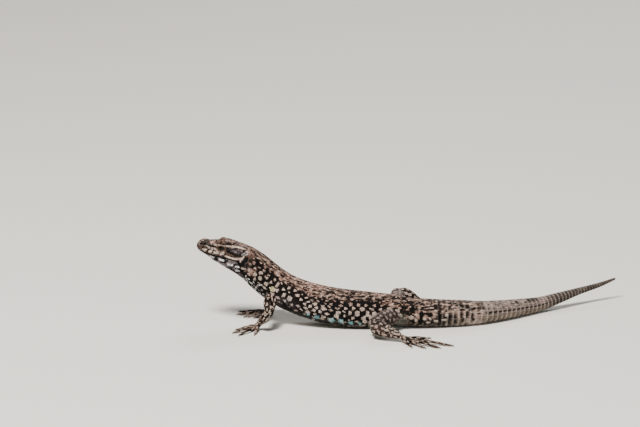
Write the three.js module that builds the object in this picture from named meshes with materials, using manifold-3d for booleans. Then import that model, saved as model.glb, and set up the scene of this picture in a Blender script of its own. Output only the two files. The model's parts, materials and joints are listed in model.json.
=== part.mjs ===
// A wall lizard (Podarcis muralis), life size: it rests on its belly, tail and feet with the head raised.
// Units are millimetres, +Z is up, the snout points to -X and the animal's left side faces -Y.
// The origin lies on the ground, under the middle of the animal's bounding box.
// Each named part of the body is one closed solid, and thin cuts part it from its neighbours.
import * as THREE from "three";
import { mergeVertices } from "three/addons/utils/BufferGeometryUtils.js";
import Module from "manifold-3d";

const wasm = await Module();
wasm.setup();

// ---------- Driving dimensions ----------

const CUT = 0.12; // the gap between two parts of the body
const CLAW_CUT = 0.06; // the gap between a toe and its claw
const MIDDLE = [1.2, 2.1]; // the middle of the bounding box, in the stations' own X and Y

// Stations along the body, from the snout to the tip of the tail: a point of the axis, the half
// width, the heights above and below the axis, and how square the section is (2 is an ellipse).
const STATIONS = [
  { name: "snout", at: [-54.6, 5.9, 20.77], wide: 1.35, above: 1.7, below: 1.2, square: 2.3 },
  { name: "nostril", at: [-53.1, 5.73, 20.22], wide: 1.8, above: 2.1, below: 1.4, square: 2.4 },
  { name: "muzzle", at: [-51.6, 5.56, 19.67], wide: 2.2, above: 2.25, below: 1.7, square: 2.5 },
  { name: "lores", at: [-50.4, 5.43, 19.24], wide: 2.65, above: 2.8, below: 2.05, square: 2.5 },
  { name: "brow", at: [-49.4, 5.31, 18.88], wide: 3.1, above: 3.6, below: 2.3, square: 2.6 },
  { name: "eye", at: [-48.3, 5.19, 18.49], wide: 3.4, above: 4.15, below: 2.45, square: 2.6 },
  { name: "temple", at: [-47, 5.05, 18.02], wide: 3.65, above: 4.3, below: 2.7, square: 2.6 },
  { name: "cheek", at: [-45.2, 4.86, 17.36], wide: 4.1, above: 4.3, below: 3.1, square: 2.5 },
  { name: "jaw", at: [-43.4, 4.67, 16.71], wide: 4.4, above: 4.3, below: 3.5, square: 2.4 },
  { name: "ear", at: [-41.9, 4.5, 16.08], wide: 4.4, above: 4.4, below: 3.8, square: 2.3 },
  { name: "nape", at: [-39.6, 4.23, 14.6], wide: 4.3, above: 4.5, below: 4.2, square: 2.2 },
  { name: "neck", at: [-37.3, 3.92, 12.78], wide: 4.3, above: 4.5, below: 4.4, square: 2.15 },
  { name: "collar", at: [-34.8, 3.58, 10.81], wide: 4.55, above: 4.5, below: 4.5, square: 2.15 },
  { name: "shoulder", at: [-32.2, 3.22, 9.12], wide: 4.9, above: 4.5, below: 4.5, square: 2.2 },
  { name: "chest", at: [-29.5, 2.83, 7.82], wide: 5.1, above: 4.5, below: 4.45, square: 2.25 },
  { name: "ribs", at: [-25.5, 2.22, 6.45], wide: 5.35, above: 4.6, below: 4.55, square: 2.25 },
  { name: "flank", at: [-20.5, 1.5, 5.34], wide: 5.6, above: 4.7, below: 4.75, square: 2.25 },
  { name: "belly", at: [-14.5, 0.8, 4.64], wide: 5.6, above: 4.7, below: 4.8, square: 2.25 },
  { name: "loin", at: [-8.5, 0.28, 4.37], wide: 5.15, above: 4.55, below: 4.55, square: 2.2 },
  { name: "hip", at: [-2.8, 0, 4.22], wide: 4.5, above: 4.15, below: 4.15, square: 2.15 },
  { name: "vent", at: [1.6, -0.05, 3.92], wide: 4, above: 3.65, below: 3.7, square: 2.1 },
  { name: "tail_swell", at: [5.8, 0.15, 3.66], wide: 3.8, above: 3.6, below: 3.65, square: 2.1 },
  { name: "tail_a", at: [10.2, 0.6, 3.46], wide: 3.6, above: 3.48, below: 3.5, square: 2.05 },
  { name: "tail_b", at: [14.6, 1.3, 3.28], wide: 3.38, above: 3.32, below: 3.34, square: 2.05 },
  { name: "tail_c", at: [19.7, 2.8, 2.94], wide: 3, above: 2.95, below: 2.98, square: 2.05 },
  { name: "tail_d", at: [25, 5.7, 2.62], wide: 2.68, above: 2.66, below: 2.66, square: 2.05 },
  { name: "tail_e", at: [30.5, 9.4, 2.29], wide: 2.31, above: 2.31, below: 2.31, square: 2 },
  { name: "tail_f", at: [36, 13.2, 2.15], wide: 1.88, above: 1.88, below: 1.88, square: 2 },
  { name: "tail_g", at: [41.5, 16.5, 2.95], wide: 1.45, above: 1.45, below: 1.45, square: 2 },
  { name: "tail_h", at: [47.05, 19.75, 3.86], wide: 0.97, above: 0.97, below: 0.97, square: 2 },
  { name: "tail_i", at: [52.6, 22.9, 4.66], wide: 0.68, above: 0.68, below: 0.68, square: 2 },
  { name: "tail_tip", at: [57, 24.9, 5.85], wide: 0.36, above: 0.36, below: 0.36, square: 2 },
];
const SNOUT_ROUND = 1.5; // the snout's end is rounded over this length
const TAIL_ROUND = 0.5;

// The head's own measures run back from the snout along its axis, up from it, and out to a side.
const HEAD_LENGTH = 15.2; // to the cut behind the ear openings
const EYE = { back: 6.45, up: 2.15, out: 2.2, radius: 1.3 };
const EAR = { back: 13.4, up: 1.6, long: 1.0, wide: 0.55, deep: 0.5, lean: 12 };
// The mouth's line from the snout to its corner, and the jaw's hind edge down to the throat.
const MOUTH = [[-1, -1.3], [1.2, -1.2], [3.5, -0.75], [6.2, -0.33], [8.6, 0.08], [10.8, 0.5], [11.9, 0.75]];
const JAW_BACK = [[12.5, -0.3], [12.9, -2.4], [13.3, -7]];

const NECK_END = 22.4; // lengths along the axis from the snout, where the body is cut
const TRUNK_END = 60.4;
const TAIL_CUTS = [78.6, 92.5, 107]; // the first is where the tail was once lost and has regrown

// Legs: joints from the body out, with the half thickness across and up at each.
// A limb's inner end lies inside the trunk, which cuts it.
const LIMBS = {
  fore_left: {
    root: [-35.2, 0.2, 7.7], middle: [-35.7, -5.7, 4.5], end: [-38.4, -3.3, 1.5],
    upper: [[1.9, 2.0], [1.75, 1.85], [1.4, 1.45], [1.2, 1.2]],
    lower: [[1.2, 1.2], [1.35, 1.3], [1.05, 1.0], [0.8, 0.72]],
    toward: 214, turn: -1, digits: "fore",
  },
  fore_right: {
    root: [-34.2, 7.0, 7.7], middle: [-33.6, 12.4, 5.0], end: [-36.6, 9.2, 1.5],
    upper: [[1.9, 2.0], [1.75, 1.85], [1.4, 1.45], [1.2, 1.2]],
    lower: [[1.2, 1.2], [1.35, 1.3], [1.05, 1.0], [0.8, 0.72]],
    toward: 172, turn: 1, digits: "fore",
  },
  hind_left: {
    root: [-2.0, -1.2, 3.8], middle: [-9.2, -10.9, 3.2], end: [-1.4, -14.4, 1.55],
    upper: [[2.5, 2.05], [2.4, 2.15], [2.05, 2.0], [1.65, 1.65]],
    lower: [[1.65, 1.65], [1.9, 1.95], [1.5, 1.45], [0.95, 0.85]],
    toward: 335, turn: -1, digits: "hind",
  },
  hind_right: {
    root: [-2.0, 1.2, 4.0], middle: [-1.9, 11.3, 6.0], end: [5.2, 14.2, 1.55],
    upper: [[2.5, 2.3], [2.4, 2.25], [2.05, 2.0], [1.65, 1.65]],
    lower: [[1.65, 1.65], [1.9, 1.95], [1.5, 1.45], [0.95, 0.85]],
    toward: 35, turn: 1, digits: "hind",
  },
};

// Digits I to V: the length from the wrist or ankle to the end of the flesh, the angle from the
// foot's own heading towards the first digit's side, and where the digit leaves the sole.
const DIGITS = {
  fore: {
    sole: 2.1, wide: 1.25, thick: 0.7,
    toes: [[3.5, 50, 1.2], [5.3, 25, 1.6], [7.0, 4, 1.8], [7.2, -16, 1.7], [4.9, -46, 1.2]],
  },
  hind: {
    sole: 3.4, wide: 1.3, thick: 0.72,
    toes: [[5.4, 38, 2.2], [8.0, 20, 2.8], [10.8, 6, 3.1], [13.2, -8, 3.0], [7.4, -44, 1.4]],
  },
};
const TOE = { root: 0.5, tip: 0.33, knuckle: 0.16, rootZ: 0.82, tipZ: 0.3 };
const CLAW = { long: 1.05, thick: 0.27, wide: 0.2, point: 0.1 };

const COLOURS = {
  back: 0x8a7160, flank: 0x6a5a52, tail: 0x8d7e78, limb: 0x7a6a61, claw: 0x2c2420,
  eye: 0x2a1c10, ear: 0x35302e, jaw: 0x8f857d,
};

// ---------- Curves ----------

// A smooth curve through values at uneven knots. Each slope comes from the two neighbours.
function through(knots, values, s) {
  const last = knots.length - 1;
  let i = 0;
  while (i < last - 1 && s > knots[i + 1]) i += 1;
  const slope = (k) => {
    const a = Math.max(k - 1, 0);
    const b = Math.min(k + 1, last);
    return (values[b] - values[a]) / (knots[b] - knots[a]);
  };
  const length = knots[i + 1] - knots[i];
  const t = THREE.MathUtils.clamp((s - knots[i]) / length, 0, 1);
  const rise = values[i + 1] - values[i];
  const m0 = slope(i) * length;
  const m1 = slope(i + 1) * length;
  return values[i] + m0 * t + (3 * rise - 2 * m0 - m1) * t * t + (m0 + m1 - 2 * rise) * t * t * t;
}

// How much of its full size a section has near a rounded end.
function rounding(distance, length) {
  if (distance >= length) return 1;
  return Math.sqrt(Math.max(0, 1 - (1 - distance / length) ** 2));
}

// ---------- The body's axis and sections ----------

const KNOTS = [0];
STATIONS.slice(1).forEach((station, i) => {
  const [a, b] = [STATIONS[i].at, station.at].map((p) => new THREE.Vector3(...p));
  KNOTS.push(KNOTS[i] + a.distanceTo(b));
});
const BODY_LENGTH = KNOTS[KNOTS.length - 1];
const column = (read) => STATIONS.map(read);
const TABLE = {
  x: column((p) => p.at[0] - MIDDLE[0]),
  y: column((p) => p.at[1] - MIDDLE[1]),
  z: column((p) => p.at[2]),
  wide: column((p) => p.wide),
  above: column((p) => p.above),
  below: column((p) => p.below),
  square: column((p) => p.square),
};
const value = (key, s) => through(KNOTS, TABLE[key], s);

function axisPoint(s) {
  return new THREE.Vector3(value("x", s), value("y", s), value("z", s));
}

// The axis's own directions: along towards the tail, side towards the animal's right, and up.
function axisFrame(s) {
  const step = 0.25;
  const along = axisPoint(Math.min(s + step, BODY_LENGTH)).sub(axisPoint(Math.max(s - step, 0)));
  along.normalize();
  const side = new THREE.Vector3(0, 0, 1).cross(along).normalize();
  return { along, side, up: along.clone().cross(side) };
}

// A point of the body's surface, round the section from the right side (0) over the back (90 degrees).
function bodyPoint(s, angle, grow = 0) {
  const { side, up } = axisFrame(s);
  const size = rounding(s, SNOUT_ROUND) * rounding(BODY_LENGTH - s, TAIL_ROUND);
  const power = 2 / value("square", s);
  const [c, d] = [Math.cos(angle), Math.sin(angle)];
  const across = Math.sign(c) * Math.abs(c) ** power * (value("wide", s) * size + grow);
  const height = (d > 0 ? value("above", s) : value("below", s)) * size + grow;
  return axisPoint(s)
    .addScaledVector(side, across)
    .addScaledVector(up, Math.sign(d) * Math.abs(d) ** power * height);
}

// A place in the head's own measures: back from the snout, up from the axis, out to the right.
function headPlace(back, up, out) {
  const frame = axisFrame(back);
  return axisPoint(back).addScaledVector(frame.up, up).addScaledVector(frame.side, out);
}

// ---------- Solids ----------

// A closed surface through rings of points, each end closed on the ring's middle.
function skinOver(rings) {
  const sides = rings[0].length;
  const last = (rings.length - 1) * sides;
  const points = rings.flat();
  const middles = [rings[0], rings[rings.length - 1]].map((ring) =>
    ring.reduce((sum, p) => sum.add(p), new THREE.Vector3()).divideScalar(sides));
  points.push(...middles);
  const faces = [];
  for (let j = 0; j < sides; j += 1) {
    const k = (j + 1) % sides;
    for (let i = 0; i < last; i += sides) {
      faces.push(i + j, i + k, i + sides + j, i + k, i + sides + k, i + sides + j);
    }
    faces.push(points.length - 2, k, j, points.length - 1, last + j, last + k);
  }
  const geometry = new THREE.BufferGeometry().setFromPoints(points);
  geometry.setIndex(faces);
  return geometry;
}

function solid(geometry) {
  const plain = geometry.clone();
  plain.deleteAttribute("normal");
  plain.deleteAttribute("uv");
  const merged = mergeVertices(plain, 1e-5);
  return new wasm.Manifold(new wasm.Mesh({
    numProp: 3,
    vertProperties: new Float32Array(merged.attributes.position.array),
    triVerts: new Uint32Array(merged.index.array),
  }));
}

function joined(solids) {
  return solids.reduce((whole, piece) => whole.add(piece));
}

// Evenly spaced steps from one value to another, no further apart than the spacing.
function steps(from, to, spacing) {
  const count = Math.max(2, Math.ceil((to - from) / spacing));
  return Array.from({ length: count + 1 }, (_, i) => from + ((to - from) * i) / count);
}

function bodyLength(from, to, spacing, sides, grow = 0) {
  const rings = steps(from, to, spacing).map((s) =>
    Array.from({ length: sides }, (_, j) => bodyPoint(s, (2 * Math.PI * j) / sides, grow)));
  return solid(skinOver(rings));
}

// A round-ended length of flesh along a curve, with half thicknesses [across, upward] spaced
// evenly along it.
function flesh(points, sizes, sides, rings, grow = 0) {
  const curve = new THREE.CatmullRomCurve3(points);
  const length = curve.getLength();
  const knots = sizes.map((_, i) => i / (sizes.length - 1));
  const made = [];
  for (let i = 0; i <= rings; i += 1) {
    // Rings crowd towards both ends, so that the round ends stay round.
    const t = 0.5 - 0.5 * Math.cos((Math.PI * (i + 0.35)) / (rings + 0.7));
    const along = curve.getTangentAt(t);
    const side = new THREE.Vector3(0, 0, 1).cross(along).normalize();
    const up = along.clone().cross(side);
    const across = through(knots, sizes.map((p) => p[0]), t);
    const height = through(knots, sizes.map((p) => p[1]), t);
    const ends = rounding(t * length, sizes[0][1])
      * rounding((1 - t) * length, sizes[sizes.length - 1][1]);
    const centre = curve.getPointAt(t);
    made.push(Array.from({ length: sides }, (_, j) => {
      const angle = (2 * Math.PI * (j + 0.5)) / sides;
      return centre.clone()
        .addScaledVector(side, Math.cos(angle) * (across * ends + grow))
        .addScaledVector(up, Math.sin(angle) * (height * ends + grow));
    }));
  }
  return solid(skinOver(made));
}

// Everything above the ground: it cuts the small flats that the animal rests on.
const aboveGround = solid(new THREE.BoxGeometry(200, 200, 60).translate(0, 0, 30));

// ---------- Parts of the head ----------

// The space below the mouth's line, as wide as the head. It may be grown by a cut's width.
function jawSpace(grow) {
  const line = new THREE.SplineCurve(MOUTH.map(([back, up]) => new THREE.Vector2(back, up + grow)));
  const hind = JAW_BACK.map(([back, up]) => new THREE.Vector2(back + grow, up + grow));
  const outline = [...line.getPoints(12), ...hind, new THREE.Vector2(MOUTH[0][0], -7)];
  const halfWidth = 7;
  const geometry = new THREE.ExtrudeGeometry(new THREE.Shape(outline), {
    depth: 2 * halfWidth, bevelEnabled: false, steps: 1,
  });
  const middle = axisFrame(HEAD_LENGTH / 2);
  const base = new THREE.Matrix4().makeBasis(middle.along, middle.up, middle.side.clone().negate());
  const start = axisPoint(0).addScaledVector(middle.side, halfWidth);
  return solid(geometry.applyMatrix4(base.setPosition(start)));
}

function eyeball(side, grow) {
  const ball = new THREE.SphereGeometry(EYE.radius + grow, 12, 8);
  const centre = headPlace(EYE.back, EYE.up, side * EYE.out);
  return solid(ball.translate(...centre));
}

// The ear drum: a flat lens that lies in the ear's opening.
function earLens(side, grow, sink) {
  const lens = new THREE.SphereGeometry(1, 10, 5);
  lens.scale(EAR.wide + grow, EAR.long + grow, EAR.deep + grow);
  lens.rotateZ(THREE.MathUtils.degToRad(EAR.lean));
  const { along, up, side: out } = axisFrame(EAR.back);
  const base = new THREE.Matrix4().makeBasis(along, up, along.clone().cross(up));
  const reach = value("wide", EAR.back) - sink;
  const centre = axisPoint(EAR.back)
    .addScaledVector(up, EAR.up)
    .addScaledVector(out, side * reach);
  return solid(lens.applyMatrix4(base.setPosition(centre)));
}

// ---------- Feet ----------

// The path of one toe: it leaves the sole, arches over its knuckles and comes down to its tip.
function toePath(foot, toe, heading) {
  const [length, , leaves] = toe;
  const place = (distance, z) => new THREE.Vector3(
    foot.x + Math.cos(heading) * distance, foot.y + Math.sin(heading) * distance, z);
  const span = length - leaves;
  return [
    place(leaves - 0.7, TOE.rootZ),
    place(leaves + span * 0.3, TOE.rootZ + TOE.knuckle * 0.6),
    place(leaves + span * 0.62, (TOE.rootZ + TOE.tipZ) / 2 + TOE.knuckle),
    place(length, TOE.tipZ),
  ];
}

function toeFlesh(path, grow) {
  const sizes = [TOE.root, TOE.root * 0.88, TOE.tip * 1.12, TOE.tip].map((r) => [r * 0.94, r]);
  return flesh(path, sizes, 6, 4, grow);
}

// A claw grows forward and down from just in front of its toe.
function clawHorn(path, heading) {
  const tip = path[path.length - 1];
  const place = (distance, z) => new THREE.Vector3(
    tip.x + Math.cos(heading) * distance, tip.y + Math.sin(heading) * distance, z);
  const line = [
    place(CLAW_CUT, TOE.tipZ + 0.05),
    place(CLAW.long * 0.45, TOE.tipZ + 0.07),
    place(CLAW.long, CLAW.point),
  ];
  const sizes = [[CLAW.wide, CLAW.thick], [CLAW.wide * 0.8, CLAW.thick * 0.8],
    [CLAW.point, CLAW.point]];
  return flesh(line, sizes, 5, 3);
}

function soleFlesh(limb, spec, grow) {
  const heading = THREE.MathUtils.degToRad(limb.toward);
  const [x, y, z] = placed(limb.end);
  const place = (distance, height) => new THREE.Vector3(
    x + Math.cos(heading) * distance, y + Math.sin(heading) * distance, height);
  const sizes = [[0.75, spec.thick], [spec.wide * 0.9, spec.thick], [spec.wide, spec.thick],
    [spec.wide * 0.8, spec.thick * 0.75]];
  const line = [place(-0.5, z), place(spec.sole * 0.35, spec.thick + 0.35),
    place(spec.sole * 0.7, spec.thick + 0.05), place(spec.sole + 0.3, spec.thick - 0.02)];
  return flesh(line, sizes, 8, 4, grow);
}

const placed = ([x, y, z]) => [x - MIDDLE[0], y - MIDDLE[1], z];

function footParts(limb) {
  const spec = DIGITS[limb.digits];
  const [x, y] = placed(limb.end);
  const toes = spec.toes.map((toe) => {
    const heading = THREE.MathUtils.degToRad(limb.toward + limb.turn * toe[1]);
    const path = toePath({ x, y }, toe, heading);
    return { path, heading };
  });
  const sole = joined([soleFlesh(limb, spec, 0), ...toes.map(({ path }) => toeFlesh(path, 0))]);
  const claws = toes.map(({ path, heading }) => clawHorn(path, heading));
  return { sole, claws };
}

// ---------- Limbs ----------

function limbParts(limb, trunkGrown) {
  const [root, middle, end] = [limb.root, limb.middle, limb.end].map(
    (p) => new THREE.Vector3(...placed(p)));
  const bow = (a, b, lift) => a.clone().lerp(b, 0.5).add(new THREE.Vector3(0, 0, lift));
  const upperLine = [root, bow(root, middle, 0.25), middle];
  const lowerLine = [middle, bow(middle, end, 0.15), end];
  const { sole, claws } = footParts(limb);
  const upper = flesh(upperLine, limb.upper, 10, 6).subtract(trunkGrown);
  const lower = flesh(lowerLine, limb.lower, 10, 6)
    .subtract(flesh(upperLine, limb.upper, 10, 6, CUT))
    .subtract(trunkGrown);
  const foot = sole
    .subtract(flesh(lowerLine, limb.lower, 10, 6, CUT))
    .intersect(aboveGround);
  return { upper, lower, foot, claws };
}

// ---------- The animal ----------

const lizard = new THREE.Group();
lizard.name = "wall_lizard";

function largest(whole) {
  return whole.decompose().reduce((a, b) => (b.volume() > a.volume() ? b : a));
}

function add(name, made, colour, roughness = 0.6) {
  const { numProp, numVert, vertProperties, triVerts } = largest(made).getMesh();
  const places = new Float32Array(numVert * 3);
  for (let i = 0; i < numVert; i += 1) {
    places.set(vertProperties.subarray(i * numProp, i * numProp + 3), i * 3);
  }
  const geometry = new THREE.BufferGeometry();
  geometry.setAttribute("position", new THREE.BufferAttribute(places, 3));
  geometry.setIndex(new THREE.BufferAttribute(new Uint32Array(triVerts), 1));
  geometry.computeVertexNormals();
  const material = new THREE.MeshStandardMaterial({ color: colour, roughness, metalness: 0 });
  const mesh = new THREE.Mesh(geometry, material);
  mesh.name = name;
  lizard.add(mesh);
}

function addHead() {
  const sides = { left: -1, right: 1 };
  const whole = bodyLength(0.02, HEAD_LENGTH - CUT / 2, 1.0, 26);
  let skull = whole.subtract(jawSpace(CUT));
  let jaw = whole.intersect(jawSpace(0));
  for (const [name, side] of Object.entries(sides)) {
    skull = skull.subtract(eyeball(side, CUT)).subtract(earLens(side, CUT, 0.1));
    jaw = jaw.subtract(earLens(side, CUT, 0.1));
    add(`eye_${name}`, eyeball(side, 0), COLOURS.eye, 0.15);
    add(`ear_drum_${name}`, earLens(side, 0, 0.42).intersect(earLens(side, 0, 0.1)), COLOURS.ear);
  }
  add("head", skull, COLOURS.back);
  add("lower_jaw", jaw, COLOURS.jaw);
}

function addTrunkAndTail() {
  add("neck", bodyLength(HEAD_LENGTH + CUT / 2, NECK_END - CUT / 2, 1.8, 26), COLOURS.flank);
  const trunk = bodyLength(NECK_END + CUT / 2, TRUNK_END - CUT / 2, 2.2, 26);
  add("trunk", trunk.intersect(aboveGround), COLOURS.flank);
  const bounds = [TRUNK_END, ...TAIL_CUTS, BODY_LENGTH];
  const names = ["tail_root", "tail_regrown_front", "tail_regrown_middle", "tail_regrown_tip"];
  names.forEach((name, i) => {
    const end = i === names.length - 1 ? BODY_LENGTH - 0.02 : bounds[i + 1] - CUT / 2;
    const length = bodyLength(bounds[i] + CUT / 2, end, 2.2, 16);
    add(name, length.intersect(aboveGround), COLOURS.tail);
  });
}

function addLimbs() {
  const trunkGrown = bodyLength(HEAD_LENGTH, TRUNK_END + 6, 2.2, 26, CUT);
  const names = { fore: ["upper_arm", "forearm", "hand"], hind: ["thigh", "shank", "foot"] };
  for (const [key, limb] of Object.entries(LIMBS)) {
    const side = key.split("_")[1];
    const [upperName, lowerName, footName] = names[limb.digits];
    const { upper, lower, foot, claws } = limbParts(limb, trunkGrown);
    add(`${upperName}_${side}`, upper, COLOURS.limb);
    add(`${lowerName}_${side}`, lower, COLOURS.limb);
    add(`${footName}_${side}`, foot, COLOURS.limb);
    claws.forEach((claw, i) => add(`claw_${limb.digits}_${side}_${i + 1}`, claw, COLOURS.claw, 0.35));
  }
}

addHead();
addTrunkAndTail();
addLimbs();

export default lizard;
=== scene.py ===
# The looks of a wall lizard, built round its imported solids.
# Lengths here are in millimetres, and every mesh is scaled to metres as it is made.
# +Z is up, the snout points to -X and the animal's left side faces -Y.
import json
import math

import bmesh
import bpy
import numpy as np
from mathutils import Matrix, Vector
from mathutils.bvhtree import BVHTree

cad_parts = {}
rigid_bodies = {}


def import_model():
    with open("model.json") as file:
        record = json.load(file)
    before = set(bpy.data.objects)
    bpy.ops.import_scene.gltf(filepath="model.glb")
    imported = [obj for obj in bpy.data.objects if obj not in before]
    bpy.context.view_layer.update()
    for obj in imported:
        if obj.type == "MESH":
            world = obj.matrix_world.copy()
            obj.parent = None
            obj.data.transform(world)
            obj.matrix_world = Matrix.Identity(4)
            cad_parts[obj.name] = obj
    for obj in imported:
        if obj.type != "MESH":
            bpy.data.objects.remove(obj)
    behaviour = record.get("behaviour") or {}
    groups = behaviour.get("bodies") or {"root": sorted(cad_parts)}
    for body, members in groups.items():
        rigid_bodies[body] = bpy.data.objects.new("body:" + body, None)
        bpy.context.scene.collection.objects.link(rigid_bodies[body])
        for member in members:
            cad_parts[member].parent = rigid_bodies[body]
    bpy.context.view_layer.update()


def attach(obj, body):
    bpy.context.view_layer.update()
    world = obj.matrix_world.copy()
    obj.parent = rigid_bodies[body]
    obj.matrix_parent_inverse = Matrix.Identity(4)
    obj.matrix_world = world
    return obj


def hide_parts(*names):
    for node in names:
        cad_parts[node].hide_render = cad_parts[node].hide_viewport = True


for thing in list(bpy.data.objects):
    bpy.data.objects.remove(thing)
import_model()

MM = 0.001
DEGREE = math.pi / 180
rng = np.random.default_rng(11)

# ---------- Camera, floor and light ----------

ELEVATION = math.radians(15.0)
CAMERA_DISTANCE = 923.5
LENS, SENSOR, CLIP_END = 200.0, 36.0, 10.0
AIM = Vector((-23.54, -2.1, 30.52))
FLOOR_HALF = 1.6
FLOOR_COLOUR, FLOOR_ROUGHNESS = (0.70, 0.68, 0.64, 1), 0.85
SKY_COLOUR, SKY_STRENGTH = (0.93, 0.96, 1.0, 1), 0.14
LAMP_TARGET = Vector((0, 0, 0.01))
LAMPS = (  # name, place, size, power, colour
    ("key", (-0.20, -0.32, 0.66), 0.20, 12.5, (1.0, 0.96, 0.90)),
    ("fill", (0.55, -0.50, 0.30), 0.50, 1.2, (0.92, 0.96, 1.0)),
    ("rim", (0.20, 0.60, 0.55), 0.35, 3.0, (1.0, 0.98, 0.94)),
)


def place_object(name, data):
    thing = bpy.data.objects.new(name, data)
    bpy.context.scene.collection.objects.link(thing)
    return thing


def make_camera():
    data = bpy.data.cameras.new("camera")
    data.lens, data.sensor_width, data.clip_end = LENS, SENSOR, CLIP_END
    camera = place_object("camera", data)
    away = Vector((0, -math.cos(ELEVATION), math.sin(ELEVATION)))
    camera.location = (AIM + away * CAMERA_DISTANCE) * MM
    camera.rotation_euler = (math.radians(90.0) - ELEVATION, 0, 0)
    bpy.context.scene.camera = camera


def make_floor():
    corners = [(x * FLOOR_HALF, y * FLOOR_HALF, 0) for x, y in ((-1, -1), (1, -1), (1, 1), (-1, 1))]
    mesh = bpy.data.meshes.new("floor")
    mesh.from_pydata(corners, [], [(0, 1, 2, 3)])
    floor = place_object("floor", mesh)
    material = bpy.data.materials.new("floor")
    material.use_nodes = True
    shader = material.node_tree.nodes["Principled BSDF"]
    shader.inputs["Base Color"].default_value = FLOOR_COLOUR
    shader.inputs["Roughness"].default_value = FLOOR_ROUGHNESS
    mesh.materials.append(material)


def make_light():
    world = bpy.data.worlds.new("studio")
    bpy.context.scene.world = world
    world.use_nodes = True
    background = world.node_tree.nodes["Background"]
    background.inputs["Color"].default_value = SKY_COLOUR
    background.inputs["Strength"].default_value = SKY_STRENGTH
    for name, place, size, power, colour in LAMPS:
        data = bpy.data.lights.new(name, "AREA")
        data.size, data.energy, data.color = size, power, colour
        lamp = place_object(name, data)
        lamp.location = place
        lamp.rotation_euler = (LAMP_TARGET - lamp.location).to_track_quat("-Z", "Y").to_euler()


make_camera()
make_floor()
make_light()

# ---------- The animal's measures: the same stations as its solids ----------

MIDDLE = (1.2, 2.1)  # the middle of the bounding box, in the stations' own X and Y
# Along the body: x, y, z, half width, heights above and below the axis, squareness.
STATIONS = {
    "snout": (-54.6, 5.9, 20.77, 1.35, 1.7, 1.2, 2.3),
    "nostril": (-53.1, 5.73, 20.22, 1.8, 2.1, 1.4, 2.4),
    "muzzle": (-51.6, 5.56, 19.67, 2.2, 2.25, 1.7, 2.5),
    "lores": (-50.4, 5.43, 19.24, 2.65, 2.8, 2.05, 2.5),
    "brow": (-49.4, 5.31, 18.88, 3.1, 3.6, 2.3, 2.6),
    "eye": (-48.3, 5.19, 18.49, 3.4, 4.15, 2.45, 2.6),
    "temple": (-47.0, 5.05, 18.02, 3.65, 4.3, 2.7, 2.6),
    "cheek": (-45.2, 4.86, 17.36, 4.1, 4.3, 3.1, 2.5),
    "jaw": (-43.4, 4.67, 16.71, 4.4, 4.3, 3.5, 2.4),
    "ear": (-41.9, 4.5, 16.08, 4.4, 4.4, 3.8, 2.3),
    "nape": (-39.6, 4.23, 14.6, 4.3, 4.5, 4.2, 2.2),
    "neck": (-37.3, 3.92, 12.78, 4.3, 4.5, 4.4, 2.15),
    "collar": (-34.8, 3.58, 10.81, 4.55, 4.5, 4.5, 2.15),
    "shoulder": (-32.2, 3.22, 9.12, 4.9, 4.5, 4.5, 2.2),
    "chest": (-29.5, 2.83, 7.82, 5.1, 4.5, 4.45, 2.25),
    "ribs": (-25.5, 2.22, 6.45, 5.35, 4.6, 4.55, 2.25),
    "flank": (-20.5, 1.5, 5.34, 5.6, 4.7, 4.75, 2.25),
    "belly": (-14.5, 0.8, 4.64, 5.6, 4.7, 4.8, 2.25),
    "loin": (-8.5, 0.28, 4.37, 5.15, 4.55, 4.55, 2.2),
    "hip": (-2.8, 0, 4.22, 4.5, 4.15, 4.15, 2.15),
    "vent": (1.6, -0.05, 3.92, 4.0, 3.65, 3.7, 2.1),
    "tail_swell": (5.8, 0.15, 3.66, 3.8, 3.6, 3.65, 2.1),
    "tail_a": (10.2, 0.6, 3.46, 3.6, 3.48, 3.5, 2.05),
    "tail_b": (14.6, 1.3, 3.28, 3.38, 3.32, 3.34, 2.05),
    "tail_c": (19.7, 2.8, 2.94, 3.0, 2.95, 2.98, 2.05),
    "tail_d": (25, 5.7, 2.62, 2.68, 2.66, 2.66, 2.05),
    "tail_e": (30.5, 9.4, 2.29, 2.31, 2.31, 2.31, 2),
    "tail_f": (36, 13.2, 2.15, 1.88, 1.88, 1.88, 2),
    "tail_g": (41.5, 16.5, 2.95, 1.45, 1.45, 1.45, 2),
    "tail_h": (47.05, 19.75, 3.86, 0.97, 0.97, 0.97, 2),
    "tail_i": (52.6, 22.9, 4.66, 0.68, 0.68, 0.68, 2),
    "tail_tip": (57, 24.9, 5.85, 0.36, 0.36, 0.36, 2),
}
SNOUT_ROUND, TAIL_ROUND = 1.5, 0.5  # how long the rounded ends are
# Lengths along the axis from the snout: where the head ends, and where the tail was once lost.
HEAD_END, REGROWN = 16.5, 78.6
HEAD_LOW = 8.0  # the head is above this height, and the hands below it

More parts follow.
